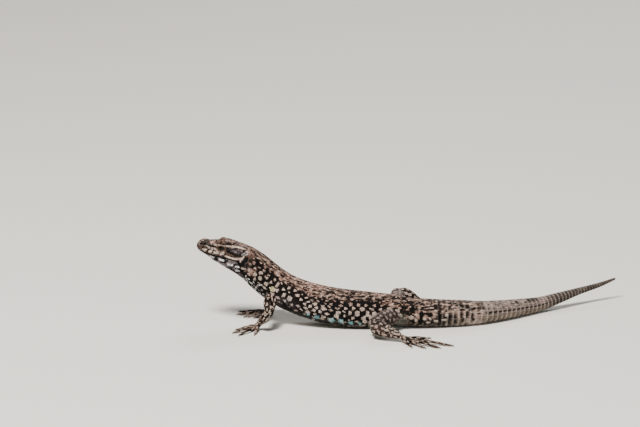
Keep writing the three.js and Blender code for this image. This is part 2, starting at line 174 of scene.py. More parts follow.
# Limbs: joints, and half thicknesses across and up, evenly spaced along each length.
FORE_UPPER = [[1.9, 2.0], [1.75, 1.85], [1.4, 1.45], [1.2, 1.2]]
FORE_LOWER = [[1.2, 1.2], [1.35, 1.3], [1.05, 1.0], [0.8, 0.72]]
HIND_LOWER = [[1.65, 1.65], [1.9, 1.95], [1.5, 1.45], [0.95, 0.85]]
LIMBS = {
    "fore_left": dict(
        root=(-35.2, 0.2, 7.7), middle=(-35.7, -5.7, 4.5), end=(-38.4, -3.3, 1.5),
        upper=FORE_UPPER, lower=FORE_LOWER, toward=214, turn=-1, digits="fore"),
    "fore_right": dict(
        root=(-34.2, 7.0, 7.7), middle=(-33.6, 12.4, 5.0), end=(-36.6, 9.2, 1.5),
        upper=FORE_UPPER, lower=FORE_LOWER, toward=172, turn=1, digits="fore"),
    "hind_left": dict(
        root=(-2.0, -1.2, 3.8), middle=(-9.2, -10.9, 3.2), end=(-1.4, -14.4, 1.55),
        upper=[[2.5, 2.05], [2.4, 2.15], [2.05, 2.0], [1.65, 1.65]], lower=HIND_LOWER,
        toward=335, turn=-1, digits="hind"),
    "hind_right": dict(
        root=(-2.0, 1.2, 4.0), middle=(-1.9, 11.3, 6.0), end=(5.2, 14.2, 1.55),
        upper=[[2.5, 2.3], [2.4, 2.25], [2.05, 2.0], [1.65, 1.65]], lower=HIND_LOWER,
        toward=35, turn=1, digits="hind"),
}
DIGITS = {
    "fore": dict(sole=2.1, wide=1.25, thick=0.7, toes=(
        (3.5, 50, 1.2), (5.3, 25, 1.6), (7.0, 4, 1.8), (7.2, -16, 1.7), (4.9, -46, 1.2))),
    "hind": dict(sole=3.4, wide=1.3, thick=0.72, toes=(
        (5.4, 38, 2.2), (8.0, 20, 2.8), (10.8, 6, 3.1), (13.2, -8, 3.0), (7.4, -44, 1.4))),
}
TOE_ROOT, TOE_TIP, TOE_ARCH, TOE_ROOT_Z, TOE_TIP_Z = 0.5, 0.33, 0.16, 0.82, 0.3
CLAW_LONG, CLAW_THICK, CLAW_WIDE, CLAW_POINT = 1.05, 0.27, 0.2, 0.1

# The head's own measures run back from the snout along its axis, up from it, and out to a side.
EYE_BACK, EYE_UP, EYE_OUT, EYE_RADIUS = 6.45, 2.15, 2.2, 1.3
EAR_BACK, EAR_UP, EAR_LONG, EAR_WIDE, EAR_LEAN = 13.4, 1.6, 1.0, 0.55, math.radians(12)
EAR_COS, EAR_SIN = math.cos(EAR_LEAN), math.sin(EAR_LEAN)
NOSTRIL_BACK, NOSTRIL_UP = 2.0, 1.44
MOUTH_BACK = np.array([-1.0, 1.2, 3.5, 6.2, 8.6, 10.8, 11.9])
MOUTH_UP = np.array([-1.3, -1.2, -0.75, -0.33, 0.08, 0.5, 0.75])

BODY_COAT, LIMB_COAT, TOE_COAT = 0.12, 0.08, 0.06  # how deep the scales lie over the skin
FLOOR_CLEAR, FLOOR_SOFT = 0.012, 0.12  # heights: the lowest point, and where flattening begins

# ---------- Curves and tubes ----------


def unit(v):
    return v / np.maximum(np.linalg.norm(v, axis=-1, keepdims=True), 1e-9)


def rounding(distance, length):
    """How much of its full size a section has near a rounded end."""
    inside = np.clip(1 - distance / length, 0, 1)
    return np.sqrt(np.maximum(0, 1 - inside**2))


def smooth(low, high, value):
    """0 at low, 1 at high, with soft ends."""
    t = np.clip((value - low) / (high - low), 0, 1)
    return t * t * (3 - 2 * t)


def rest_on_floor(points):
    """Flattens what would sink into the floor, with its layers kept in order."""
    low = points[:, 2] < FLOOR_SOFT
    room = FLOOR_SOFT - FLOOR_CLEAR
    points[low, 2] = FLOOR_CLEAR + room * np.exp((points[low, 2] - FLOOR_SOFT) / room)


class Curve:
    """A smooth curve through rows of values at uneven knots."""

    def __init__(self, knots, values):
        self.knots, self.values = np.asarray(knots, float), np.asarray(values, float)
        last = len(self.knots) - 1
        before = np.maximum(np.arange(last + 1) - 1, 0)
        after = np.minimum(np.arange(last + 1) + 1, last)
        span = (self.knots[after] - self.knots[before])[:, None]
        self.slopes = (self.values[after] - self.values[before]) / span

    def __call__(self, s):
        s = np.asarray(s, float)
        i = np.clip(np.searchsorted(self.knots, s, side="right") - 1, 0, len(self.knots) - 2)
        length = (self.knots[i + 1] - self.knots[i])[..., None]
        t = np.clip((s - self.knots[i])[..., None] / length, 0, 1)
        rise = self.values[i + 1] - self.values[i]
        m0, m1 = self.slopes[i] * length, self.slopes[i + 1] * length
        return self.values[i] + m0 * t + (3 * rise - 2 * m0 - m1) * t**2 + (m0 + m1 - 2 * rise) * t**3


def chord_knots(points):
    """How far along a chain of points each one lies."""
    steps = np.linalg.norm(np.diff(points[:, :3], axis=0), axis=1)
    return np.concatenate([[0], np.cumsum(steps)])


class Tube:
    """Flesh along a curve: s is the length along it, angle runs round it from its right side."""

    SAMPLE_GAP, BATCH, REFINES = 0.6, 20000, 3  # how places on it are searched for
    AHEAD = 0.25  # its direction is taken over twice this length

    def __init__(self, rows, ends, swell=None):
        rows = np.asarray(rows, float)
        self.curve = Curve(chord_knots(rows), rows)
        self.length = self.curve.knots[-1]
        self.ends, self.swell = ends, swell

    def frame(self, s):
        ahead = self.curve(np.minimum(s + self.AHEAD, self.length))[..., :3]
        along = unit(ahead - self.curve(np.maximum(s - self.AHEAD, 0))[..., :3])
        side = unit(np.cross(np.array([0, 0, 1.0]), along))
        return along, side, np.cross(along, side)

    def local(self, s, angle, grow=0.0):
        """A surface point in the section's own measures: out to the right, and up."""
        row = self.curve(s)
        size = rounding(s, self.ends[0]) * rounding(self.length - s, self.ends[1])
        power = 2 / row[..., 6]
        c, d = np.cos(angle), np.sin(angle)
        high = np.where(d > 0, row[..., 4], row[..., 5])
        reach, rise = np.sign(c) * np.abs(c) ** power, np.sign(d) * np.abs(d) ** power
        out, up = reach * row[..., 3] * size, rise * high * size
        if self.swell is not None:
            grow = grow + self.swell(s, up, out)
        return out + reach * grow, up + rise * grow

    def surface(self, s, angle, grow=0.0):
        s, angle = np.broadcast_arrays(np.asarray(s, float), np.asarray(angle, float))
        _, side, up = self.frame(s)
        out, high = self.local(s, angle, grow)
        return self.curve(s)[..., :3] + side * out[..., None] + up * high[..., None]

    def normal(self, s, angle, grow=0.0):
        ds, da = 0.06, 0.012
        low, high = np.maximum(s - ds, 0.001), np.minimum(s + ds, self.length - 0.001)
        along = self.surface(high, angle, grow) - self.surface(low, angle, grow)
        around = self.surface(s, angle + da, grow) - self.surface(s, angle - da, grow)
        return unit(np.cross(around, along))

    def place(self, points):
        """Where points lie: length along, angle round, and rough height over the surface."""
        samples = np.linspace(0, self.length, max(12, int(self.length / self.SAMPLE_GAP)))
        centres = self.curve(samples)[:, :3]
        s = np.empty(len(points))
        for start in range(0, len(points), self.BATCH):
            part = points[start:start + self.BATCH]
            gap = ((part[:, None, :] - centres[None]) ** 2).sum(-1)
            s[start:start + self.BATCH] = samples[gap.argmin(1)]
        for _ in range(self.REFINES):
            along, side, up = self.frame(s)
            offset = points - self.curve(s)[:, :3]
            s = np.clip(s + (offset * along).sum(-1), 0, self.length)
        along, side, up = self.frame(s)
        row = self.curve(s)
        offset = points - row[:, :3]
        out, rise, past = (offset * side).sum(-1), (offset * up).sum(-1), (offset * along).sum(-1)
        high = np.where(rise > 0, row[:, 4], row[:, 5])
        c = np.sign(out) * np.abs(out / row[:, 3]) ** (row[:, 6] / 2)
        d = np.sign(rise) * np.abs(rise / high) ** (row[:, 6] / 2)
        level = (c * c + d * d) ** (1 / row[:, 6])
        height = (level - 1) * np.minimum(row[:, 3], high) + np.abs(past)
        return s, np.arctan2(d, c), height, rise, out


# ---------- The forms of the head ----------

# Swellings and hollows, the same on both sides: back, up, out, spreads back and up, height.
HEAD_FORMS = {
    "brow_ridge": (6.6, 3.3, 2.8, 1.9, 0.62, 0.26),
    "brow_front": (4.7, 2.3, 2.3, 0.9, 0.5, 0.10),
    "muzzle_top": (3.6, 2.5, 0.5, 1.1, 0.9, 0.18),
    "lore_hollow": (4.1, 0.9, 2.5, 1.1, 0.6, -0.20),
    "nostril_swell": (1.9, 1.5, 1.5, 0.5, 0.45, 0.10),
    "jaw_muscle": (10.4, -0.6, 4.2, 1.7, 1.2, 0.22),
    "temple": (10.2, 2.4, 3.6, 1.5, 0.8, 0.10),
    "ear_hollow": (13.5, 1.7, 4.3, 0.9, 1.2, -0.16),
    "neck_fold": (19.0, -0.6, 4.3, 4.0, 0.5, 0.16),
    "throat_hollow": (16.0, -3.6, 1.5, 1.6, 1.6, -0.15),
}
FORMS_END = 30  # the last length along the body that they reach
FORM_DEPTH = 2.2  # how far a form spreads inwards and outwards, as a multiple of its spread up


def head_swell(s, up, out):
    """How far the head's forms raise places on its surface."""
    total = np.zeros(np.shape(s))
    near = s < FORMS_END
    if not np.any(near):
        return total
    s, up, side = s[near], up[near], np.abs(out[near])
    grown = np.zeros(len(s))
    for back, high, reach, long, wide, height in HEAD_FORMS.values():
        far = ((s - back) / long) ** 2 + ((up - high) / wide) ** 2
        far = far + ((side - reach) / (FORM_DEPTH * wide)) ** 2
        grown += height * np.exp(-far)
    total[near] = grown
    return total


BODY = Tube(
    [(row[0] - MIDDLE[0], row[1] - MIDDLE[1]) + row[2:] for row in STATIONS.values()],
    (SNOUT_ROUND, TAIL_ROUND), head_swell)
LENGTH = BODY.length


def angle_of_out(s, out):
    """The angle of a place on the head's top, from its distance out to the right."""
    row = BODY.curve(s)
    ratio = np.clip(np.abs(out) / row[..., 3], 0, 0.999)
    return np.arccos(np.sign(out) * ratio ** (row[..., 6] / 2))


def angle_of_up(s, up, side):
    """The angle of a place on the head's side, from its height over the axis."""
    row = BODY.curve(s)
    high = np.where(up > 0, row[..., 4], row[..., 5])
    ratio = np.clip(np.abs(up) / high, 0, 0.999)
    angle = np.arcsin(np.sign(up) * ratio ** (row[..., 6] / 2))
    return np.where(side > 0, angle, math.pi - angle)


def head_place(back, up, out):
    """A place on or in the head, from its own measures."""
    _, side, rise = BODY.frame(np.array(float(back)))
    return BODY.curve(np.array(float(back)))[:3] + rise * up + side * out


# ---------- Limbs, feet and claws as tubes ----------


def placed(point):
    """A point of the stations' own X and Y in the frame's."""
    return np.array([point[0] - MIDDLE[0], point[1] - MIDDLE[1], point[2]])


def limb_tube(points, sizes, count=13):
    """A tube through points, with evenly spaced sizes."""
    path = Curve(chord_knots(np.array(points)), points)
    share = np.linspace(0, 1, count)
    centres = path(share * path.knots[-1])
    wide = Curve(np.linspace(0, 1, len(sizes)), sizes)(share)
    rows = np.column_stack([centres, wide[:, 0], wide[:, 1], wide[:, 1], np.full(count, 2.0)])
    return Tube(rows, (sizes[0][1], sizes[-1][1]))


def bowed(a, b, lift):
    """Three points of a length that is arched a little."""
    return [a, (a + b) / 2 + np.array([0, 0, lift]), b]


def walk(start, heading, steps):
    """Points at distances from a place along a heading, each at its own height."""
    way = np.array([math.cos(heading), math.sin(heading), 0])
    return [start + way * distance + np.array([0, 0, z]) for distance, z in steps]


TUBES = {}  # every length of flesh in the legs, by name
CLAWS = {}
for limb_name, limb in LIMBS.items():
    root, middle, end = (placed(limb[key]) for key in ("root", "middle", "end"))
    spec = DIGITS[limb["digits"]]
    sole, wide, thick = spec["sole"], spec["wide"], spec["thick"]
    TUBES[f"{limb_name}.upper"] = limb_tube(bowed(root, middle, 0.25), limb["upper"])
    TUBES[f"{limb_name}.lower"] = limb_tube(bowed(middle, end, 0.15), limb["lower"])
    foot = np.array([end[0], end[1], 0])
    TUBES[f"{limb_name}.sole"] = limb_tube(
        walk(foot, math.radians(limb["toward"]), (
            (-0.5, end[2]), (sole * 0.35, thick + 0.35), (sole * 0.7, thick + 0.05),
            (sole + 0.3, thick - 0.02))),
        [[0.75, thick], [wide * 0.9, thick], [wide, thick], [wide * 0.8, thick * 0.75]])
    for number, (length, fan, leaves) in enumerate(spec["toes"], 1):
        heading = math.radians(limb["toward"] + limb["turn"] * fan)
        span = length - leaves
        points = walk(foot, heading, (
            (leaves - 0.7, TOE_ROOT_Z),
            (leaves + span * 0.3, TOE_ROOT_Z + TOE_ARCH * 0.6),
            (leaves + span * 0.62, (TOE_ROOT_Z + TOE_TIP_Z) / 2 + TOE_ARCH),
            (length, TOE_TIP_Z)))
        radii = [TOE_ROOT, TOE_ROOT * 0.88, TOE_TIP * 1.12, TOE_TIP]
        TUBES[f"{limb_name}.toe{number}"] = limb_tube(points, [[r * 0.94, r] for r in radii])
        claw = walk(points[-1] * (1, 1, 0), heading, (
            (-0.12, TOE_TIP_Z + 0.05), (CLAW_LONG * 0.45, TOE_TIP_Z + 0.07), (CLAW_LONG, CLAW_POINT)))
        CLAWS[f"{limb_name}.{number}"] = limb_tube(claw, [
            [CLAW_WIDE * 0.9, CLAW_THICK * 0.9], [CLAW_WIDE * 0.72, CLAW_THICK * 0.75],
            [CLAW_POINT * 0.5, CLAW_POINT * 0.5]])
TUBE_NAMES = list(TUBES)


def of_tubes(rule):
    """One value for each length of flesh, from its name."""
    return np.array([float(rule(name)) for name in TUBE_NAMES])


# ---------- Meshes ----------


def make_mesh(name, points, faces):
    """A mesh object from points in millimetres and arrays of triangles or quads."""
    mesh = bpy.data.meshes.new(name)
    loops = np.concatenate([f.ravel() for f in faces]).astype(np.int32)
    sizes = np.concatenate([np.full(len(f), f.shape[1]) for f in faces])
    starts = np.concatenate([[0], np.cumsum(sizes)[:-1]]).astype(np.int32)
    mesh.vertices.add(len(points))
    mesh.vertices.foreach_set("co", (np.asarray(points) * MM).astype(np.float32).ravel())
    mesh.loops.add(len(loops))
    mesh.loops.foreach_set("vertex_index", loops)
    mesh.polygons.add(len(sizes))
    mesh.polygons.foreach_set("loop_start", starts)
    mesh.update(calc_edges=True)
    mesh.validate()
    mesh.shade_smooth()
    return place_object(name, mesh)


def ring_quads(rings, turns):
    """Rings of points that run once round: their numbers, the next ones, and the quads between."""
    index = np.arange(rings * turns).reshape(rings, turns)
    after = np.roll(index, -1, 1)
    return index, after, np.stack([index[:-1], after[:-1], after[1:], index[1:]], -1).reshape(-1, 4)


def end_fans(index, after, first, last):
    """The triangles that close the first ring on one point, and the last ring on another."""
    turns = index.shape[1]
    return (np.stack([np.full(turns, first), after[0], index[0]], -1),
            np.stack([np.full(turns, last), index[-1], after[-1]], -1))


def loft(tube, rings, sides, grow):
    """A closed surface over a tube: its points and quads, and the triangles of its ends."""
    share = (1 - np.cos(np.pi * (np.arange(rings) + 0.2) / (rings - 0.6))) / 2
    even = np.linspace(0.004, 0.996, rings)
    s = (share * 0.35 + even * 0.65) * tube.length
    angle = 2 * np.pi * np.arange(sides) / sides
    points = tube.surface(s[:, None], angle[None], grow)
    ends = np.array([points[0].mean(0), points[-1].mean(0)])
    index, after, quads = ring_quads(rings, sides)
    fans = np.concatenate(end_fans(index, after, rings * sides, rings * sides + 1))
    return np.concatenate([points.reshape(-1, 3), ends]), quads, fans


def joined(lofts):
    """Several lofts as one mesh."""
    points, quads, tris, base = [], [], [], 0
    for p, q, t in lofts:
        points.append(p)
        quads.append(q + base)
        tris.append(t + base)
        base += len(p)
    return np.concatenate(points), [np.concatenate(quads), np.concatenate(tris)]


# ---------- The skin ----------

SKIN_VOXEL = 0.27
# Rings and sides of the lofts that are joined into the skin, and how far inside the flesh they lie.
BODY_LOFT = (420, 84, -BODY_COAT)
LIMB_LOFT = (36, 32, -LIMB_COAT)
TOE_LOFT = (30, 16, -TOE_COAT)
EVEN_IN, EVEN_OUT, EVEN_TURNS = 0.5, 0.52, 3  # smoothing that keeps the skin's volume
CREASE, CREASE_TURNS = 1.1, 10  # how wide the creases at the limbs' roots are rounded
FINE_END, FINE_LOW = 15.5, 9.0  # the head's skin is finer before this length and over this height
LIMB_REACH = 3.5  # how far from a limb's axis its flesh and scales can be


def neighbours_mean(points, edges):
    """The mean of each point's neighbours."""
    total = np.zeros_like(points)
    count = np.zeros(len(points))
    for a, b in ((0, 1), (1, 0)):
        for k in range(3):
            total[:, k] += np.bincount(edges[:, a], points[edges[:, b], k], len(points))
        count += np.bincount(edges[:, a], minlength=len(points))
    return total / np.maximum(count, 1)[:, None]


def read(elements, field, kind, width):
    """A field of a mesh's elements as rows of numbers."""
    values = np.empty(len(elements) * width, kind)
    elements.foreach_get(field, values)
    return values.reshape(-1, width)


def limb_place(points):
    """The nearest length of limb to each point: its number, share along, angle, height."""
    number = np.full(len(points), -1)
    height = np.full(len(points), 99.0)
    share, angle = np.zeros(len(points)), np.zeros(len(points))
    for i, tube in enumerate(TUBES.values()):
        centres = tube.curve.values[:, :3]
        low, high = centres.min(0) - LIMB_REACH, centres.max(0) + LIMB_REACH
        near = np.nonzero(np.all((points > low) & (points < high), axis=1))[0]
        if not len(near):
            continue
        s, a, h, _, _ = tube.place(points[near])
        closer = h < height[near]
        pick = near[closer]
        number[pick], height[pick] = i, h[closer]
        share[pick], angle[pick] = s[closer] / tube.length, a[closer]
    return number, share, angle, height


EYES = {}
for side_name, side in (("left", -1), ("right", 1)):
    centre = head_place(EYE_BACK, EYE_UP, EYE_OUT * side)
    along, across, rise = BODY.frame(np.array(EYE_BACK))
    EYES[side_name] = dict(centre=centre, out=across * side, back=along, up=rise, side=side)
OPEN_LONG, OPEN_TALL, OPEN_LEAN = 1.0, 0.74, math.radians(20)
LID = 0.13  # how thick a lid is over the eyeball
LEAN_COS, LEAN_SIN = math.cos(OPEN_LEAN), math.sin(OPEN_LEAN)


def eye_plane(eye, points):
    """Places near an eye, seen from its centre: along its slit, over it, outwards, distance."""
    offset = points - eye["centre"]
    distance = np.linalg.norm(offset, axis=-1)
    back, up = offset @ eye["back"], offset @ eye["up"]
    return (back * LEAN_COS + up * LEAN_SIN, up * LEAN_COS - back * LEAN_SIN,
            offset @ eye["out"], distance)


def eye_way(eye, slit, over):
    """The direction from an eye's centre to places on its ball, as shares of its radius."""
    outward = np.sqrt(np.maximum(0.02, 1 - slit**2 - over**2))
    back, up = slit * LEAN_COS - over * LEAN_SIN, slit * LEAN_SIN + over * LEAN_COS
    return unit(back[:, None] * eye["back"] + up[:, None] * eye["up"] + outward[:, None] * eye["out"])


def lid_rim(slit, over, distance):
    """How far out from the eye's slit: 1 on its edge."""
    return np.hypot(slit / OPEN_LONG, over / OPEN_TALL) / distance * EYE_RADIUS


MOUTH_DEPTH, MOUTH_WIDE = 0.16, 0.10
NOSTRIL_DEPTH, NOSTRIL_LONG, NOSTRIL_TALL = 0.42, 0.24, 0.17
EAR_DEPTH, EAR_RIM = 0.78, 0.10
SOCKET_DEPTH = 0.2  # how far the skin sinks behind the front of the eyeball


def shape_head(points):
    """Presses the eye sockets, lids, mouth, nostrils and ears into the head's skin."""
    s, angle, height, up, out = BODY.place(points)
    normal = BODY.normal(s, angle)
    near = (s < HEAD_END) & (height > -1.2)
    move = np.zeros_like(points)
    # The line of the mouth.
    gap = up - np.interp(s, MOUTH_BACK, MOUTH_UP)
    line = np.exp(-(gap / MOUTH_WIDE) ** 2) * smooth(12.4, 11.4, s) * (np.abs(out) > 0.35)
    move -= normal * (MOUTH_DEPTH * line * near)[:, None]
    # Nostrils.
    far = ((s - NOSTRIL_BACK) / NOSTRIL_LONG) ** 2 + ((up - NOSTRIL_UP) / NOSTRIL_TALL) ** 2
    pit = np.exp(-far ** 1.3)
    move -= normal * (NOSTRIL_DEPTH * pit * near * (np.abs(out) > 0.5))[:, None]
    # Ears: a sunken oval with the drum on its floor.
    back, over = s - EAR_BACK, up - EAR_UP
    tall, wide = over * EAR_COS + back * EAR_SIN, back * EAR_COS - over * EAR_SIN
    rim = np.sqrt((tall / EAR_LONG) ** 2 + (wide / EAR_WIDE) ** 2)
    open_ear = near * (np.abs(out) > 2.5)
    move -= normal * (EAR_DEPTH * smooth(1.10, 0.78, rim) * open_ear)[:, None]
    move += normal * (EAR_RIM * np.exp(-((rim - 1.35) / 0.22) ** 2) * open_ear)[:, None]
    points = points + move
    # Eyes: lids lie round the eyeball, and the socket sinks behind it.
    for eye in EYES.values():
        slit, over, outward, distance = eye_plane(eye, points)
        close = np.nonzero((outward > 0.15) & (distance < 2.4))[0]
        d = distance[close]
        direction = (points[close] - eye["centre"]) / d[:, None]
        lid = EYE_RADIUS + LID - 0.03
        want = np.where(d < lid, lid, d) + np.exp(-np.maximum(d - lid, 0) / 0.25) * 0.06
        want = np.where(lid_rim(slit[close], over[close], d) < 1.12, EYE_RADIUS - SOCKET_DEPTH, want)
        points[close] = eye["centre"] + direction * want[:, None]
    return points


LID_TURNS = 56
LID_RINGS = (  # how far out from the slit, and the height over the eyeball in lids
    (0.96, -0.04 / LID), (0.97, 0.6), (1.0, 1.02), (1.06, 1.15), (1.15, 1.0), (1.3, 0.9), (1.42, 0.3))


def lid_ring(eye):
    """A lid that rolls from the eyeball over its edge and runs out over the skin."""
    theta = 2 * np.pi * np.arange(LID_TURNS) / LID_TURNS
    tall = np.where(np.sin(theta) > 0, OPEN_TALL * 0.9, OPEN_TALL)
    slit = OPEN_LONG * np.cos(theta)
    over = tall * np.sin(theta) * (1 - 0.16 * np.cos(theta) ** 2)
    points = np.concatenate([
        eye["centre"] + eye_way(eye, slit * spread / EYE_RADIUS, over * spread / EYE_RADIUS)
        * (EYE_RADIUS + LID * height) for spread, height in LID_RINGS])
    quads = ring_quads(len(LID_RINGS), LID_TURNS)[2]
    return points, quads[:, ::-1] if eye["side"] < 0 else quads


def make_skin():
    """One even skin over trunk and limbs, with the head carved into it."""
    lofts = [loft(BODY, *BODY_LOFT)]
    lofts += [loft(tube, *(TOE_LOFT if ".toe" in name else LIMB_LOFT)) for name, tube in TUBES.items()]
    points, faces = joined(lofts)
    rest_on_floor(points)
    rough = make_mesh("rough_skin", points / MM, faces)
    rough.modifiers.new("union", "REMESH").mode = "VOXEL"
    rough.modifiers["union"].voxel_size = SKIN_VOXEL
    graph = bpy.context.evaluated_depsgraph_get()
    mesh = bpy.data.meshes.new_from_object(rough.evaluated_get(graph))
    bpy.data.objects.remove(rough)
    points = read(mesh.vertices, "co", np.float32, 3).astype(float)
    edges = read(mesh.edges, "vertices", np.int32, 2)
    # Even out the voxels everywhere, and round the creases where limbs join the trunk.
    body_height = BODY.place(points)[2]
    limb_height = limb_place(points)[3]
    joint = np.exp(-((np.abs(body_height) + np.abs(limb_height)) / CREASE) ** 2)[:, None]
    for _ in range(EVEN_TURNS):
        points += EVEN_IN * (neighbours_mean(points, edges) - points)
        points -= EVEN_OUT * (neighbours_mean(points, edges) - points)
    for _ in range(CREASE_TURNS):
        points += EVEN_IN * joint * (neighbours_mean(points, edges) - points)
    mesh.vertices.foreach_set("co", points.astype(np.float32).ravel())
    mesh.update()
    # The head's skin gets a second, finer mesh.
    work = bmesh.new()
    work.from_mesh(mesh)
    limit = BODY.surface(np.array(FINE_END), np.array(math.pi / 2))[0]
    front = [e for e in work.edges if (e.verts[0].co.x + e.verts[1].co.x) / 2 < limit
             and (e.verts[0].co.z + e.verts[1].co.z) / 2 > FINE_LOW]
    bmesh.ops.subdivide_edges(work, edges=front, cuts=1, use_grid_fill=True)
    bmesh.ops.triangulate(work, faces=work.faces)
    work.verts.index_update()
    points = np.array([v.co for v in work.verts])
    faces = np.array([[v.index for v in f.verts] for f in work.faces])
    work.free()
    bpy.data.meshes.remove(mesh)
    return shape_head(points), faces


skin_points, skin_faces = make_skin()
SKIN_TREE = BVHTree.FromPolygons([tuple(p) for p in skin_points], [tuple(f) for f in skin_faces])


def vertex_normals(points, faces):
    """Smooth normals, weighed by the faces' areas."""
    a, b, c = (points[faces[:, k]] for k in range(3))
    flat = np.cross(b - a, c - a)
    total = np.zeros_like(points)
    for k in range(3):
        for axis in range(3):
            total[:, axis] += np.bincount(faces[:, k], flat[:, axis], len(points))
    return unit(total)


skin_normals = vertex_normals(skin_points, skin_faces)


def on_skin(points):
    """The nearest place on the skin to each point, and its smooth outward normal."""
    found, normals = np.empty_like(points), np.empty_like(points)
    for i, point in enumerate(points):
        spot, _, face, _ = SKIN_TREE.find_nearest(Vector(point))
        corners = skin_faces[face]
        away = np.linalg.norm(skin_points[corners] - np.array(spot), axis=1)
        weight = 1 / (away + 1e-4)
        found[i] = spot
        normals[i] = (skin_normals[corners] * weight[:, None]).sum(0)
    return found, unit(normals)


# ---------- Colours and markings ----------


def tint(r, g, b):
    """A colour as linear light, from its everyday 0 to 255 values."""
    c = np.array([r, g, b]) / 255.0
    return np.where(c <= 0.04045, c / 12.92, ((c + 0.055) / 1.055) ** 2.4)


def mix(a, b, share):
    """From a to b, each point by its own share."""
    return a + (b - a) * np.asarray(share)[..., None]


def uneven(colour, low, rise, amount):
    """A colour made darker or lighter from place to place."""
    return colour * (low + rise * amount)[:, None]


def blob(x, y, middle, spread):
    """1 at the middle of a soft oval patch, and less away from it."""
    return np.exp(-(((x - middle[0]) / spread[0]) ** 2 + ((y - middle[1]) / spread[1]) ** 2))


def noise(points, size, seed):
    """Smooth noise from 0 to 1 in space."""
    p = np.asarray(points) / size + 100.0 + seed * 7.31
    cell = np.floor(p).astype(np.int64)
    t = p - cell
    t = t * t * (3 - 2 * t)
    total = 0
    for corner in range(8):
        step = np.array([corner & 1, corner >> 1 & 1, corner >> 2])
        q = cell + step
        h = q[..., 0] * 374761393 + q[..., 1] * 668265263 + q[..., 2] * 2147483647 + seed * 1274126177
        h = (h ^ (h >> 13)) * 1274126177
        value = ((h ^ (h >> 16)) & 0xFFFF) / 65535.0
        weight = np.prod(np.where(step, t, 1 - t), axis=-1)
        total = total + value * weight
    return total


BLACK = tint(20, 13, 9)
CREAM = tint(206, 189, 178)
PINK = tint(184, 155, 142)
BACK = tint(150, 128, 116)
BACK_DARK = tint(40, 29, 23)
YELLOW = tint(200, 192, 150)
BLUE = tint(138, 184, 190)
LILAC = tint(140, 130, 132)
LILAC_PALE = tint(190, 178, 178)
WHITE = tint(230, 227, 228)
BELLY = tint(176, 168, 158)
HEAD_TOP = tint(136, 110, 97)
HEAD_DARK = tint(42, 30, 24)
STRIPE = tint(216, 194, 180)
TEMPLE = tint(50, 42, 42)
TAIL_TOP = tint(172, 146, 133)
TAIL_GREY = tint(165, 148, 140)
# The tail's lower colour is its underside's own colour, painted darker as shade.
TAIL_LOW_SHADED = tint(146, 134, 120)
TAIL_END = tint(106, 97, 90)
LIMB = tint(102, 88, 82)
LIMB_NET = tint(30, 22, 19)
LIMB_SPOT = tint(190, 172, 160)
FOOT = tint(118, 99, 86)
GROIN = tint(142, 143, 130)
ROSE = tint(188, 140, 120)
LID_COLOUR = tint(168, 146, 132)
TAIL_EDGE = tint(206, 192, 184)

BAR_GAP = 3.3  # the flank's spots crowd into upright bars this far apart


def spot_rows(first, last, gap, rows, seed, jitter=0.26, stretch=(0.8, 1.3), bars=0.0):
    """Staggered rows of spots: length along the body, millimetres round it, radius, stretch."""
    dice = np.random.default_rng(seed)
    spots = []
    for number, (row, radius) in enumerate(rows):
        along = first + gap * 0.5 * (number % 2)
        while along < last:
            crowd = 1 + bars * math.sin(2 * math.pi * (along + 0.3 * row) / BAR_GAP)
            spots.append((
                along + dice.normal(0, jitter * 0.6), row + dice.normal(0, jitter * 0.4),
                radius * crowd * dice.uniform(0.8, 1.2), dice.uniform(*stretch)))
            along += gap * dice.uniform(0.86, 1.14)
    return np.array(spots)


SPOT_FALL = 1.9  # how fast a spot fades outwards


def spot_field(along, round_, spots):
    """1 at the middle of a spot and less beyond its rim; near spots run together."""
    total = np.zeros(len(along))
    for x, y, radius, stretch in spots:
        near = np.nonzero(np.abs(along - x) < 2.6 * radius * max(stretch, 0.6))[0]
        d = ((along[near] - x) / stretch) ** 2 + ((round_[near] - y) * stretch) ** 2
        total[near] += np.exp(-SPOT_FALL * d / radius**2)
    return total


def fleck_field(along, round_, flecks):
    """Short dashes that run back and a little down."""
    total = np.zeros(len(along))
    for x, y, radius, stretch in flecks:
        near = np.nonzero(np.abs(along - x) < 1.6)[0]
        d = ((along[near] - x) / stretch) ** 2 + (round_[near] - y + 0.25 * (along[near] - x)) ** 2
        total[near] = np.maximum(total[near], np.exp(-1.2 * d / radius**2))
    return total


def spotted(field, sharp=0.35):
    """1 inside the spots of a field and 0 outside, with soft rims."""
    rim = math.exp(-SPOT_FALL)
    return smooth(rim * (1 - sharp), rim * (1 + sharp), field)


# The two sides of the body are alike but not the same, so each has its own seed.
FLANK_ROWS = (  # millimetres round from the middle of the back, radius of the spots
    (4.9, 0.34), (5.8, 0.36), (6.7, 0.38), (7.6, 0.41), (8.5, 0.43), (9.4, 0.41), (10.3, 0.34))
HIP_ROWS = ((5.1, 0.44), (6.3, 0.50), (7.5, 0.55), (8.7, 0.55), (9.9, 0.48))
SHOULDER_ROWS = ((4.9, 0.38), (6.2, 0.46), (7.5, 0.52), (8.8, 0.52), (10.1, 0.46))
NECK_ROWS = ((4.1, 0.34), (5.3, 0.40), (6.5, 0.42), (7.7, 0.42), (8.9, 0.38))
THROAT_ROWS = ((10.2, 0.36), (11.3, 0.40), (12.4, 0.40), (13.5, 0.36))
LIMB_ROWS = [(row, 0.44) for row in np.arange(-8.0, 8.0, 1.3)]
FLECK_COUNTS = ((14.0, 57.0, 370), (57.0, 82.0, 310))  # first and last length, how many
FLANK_SPOTS, NECK_SPOTS, THROAT_SPOTS, BLUE_SPOTS, FLECKS = {}, {}, {}, {}, {}
HIP_SPOTS, TAIL_BLOTCHES = {}, {}
BLUE_MARKS = (  # length along, millimetres round, radius
    (34.2, 10.2, 0.46), (36.5, 10.2, 0.70), (40.2, 10.1, 0.74), (42.5, 10.1, 0.76),
    (45.0, 10.3, 0.62), (47.2, 10.6, 0.44))
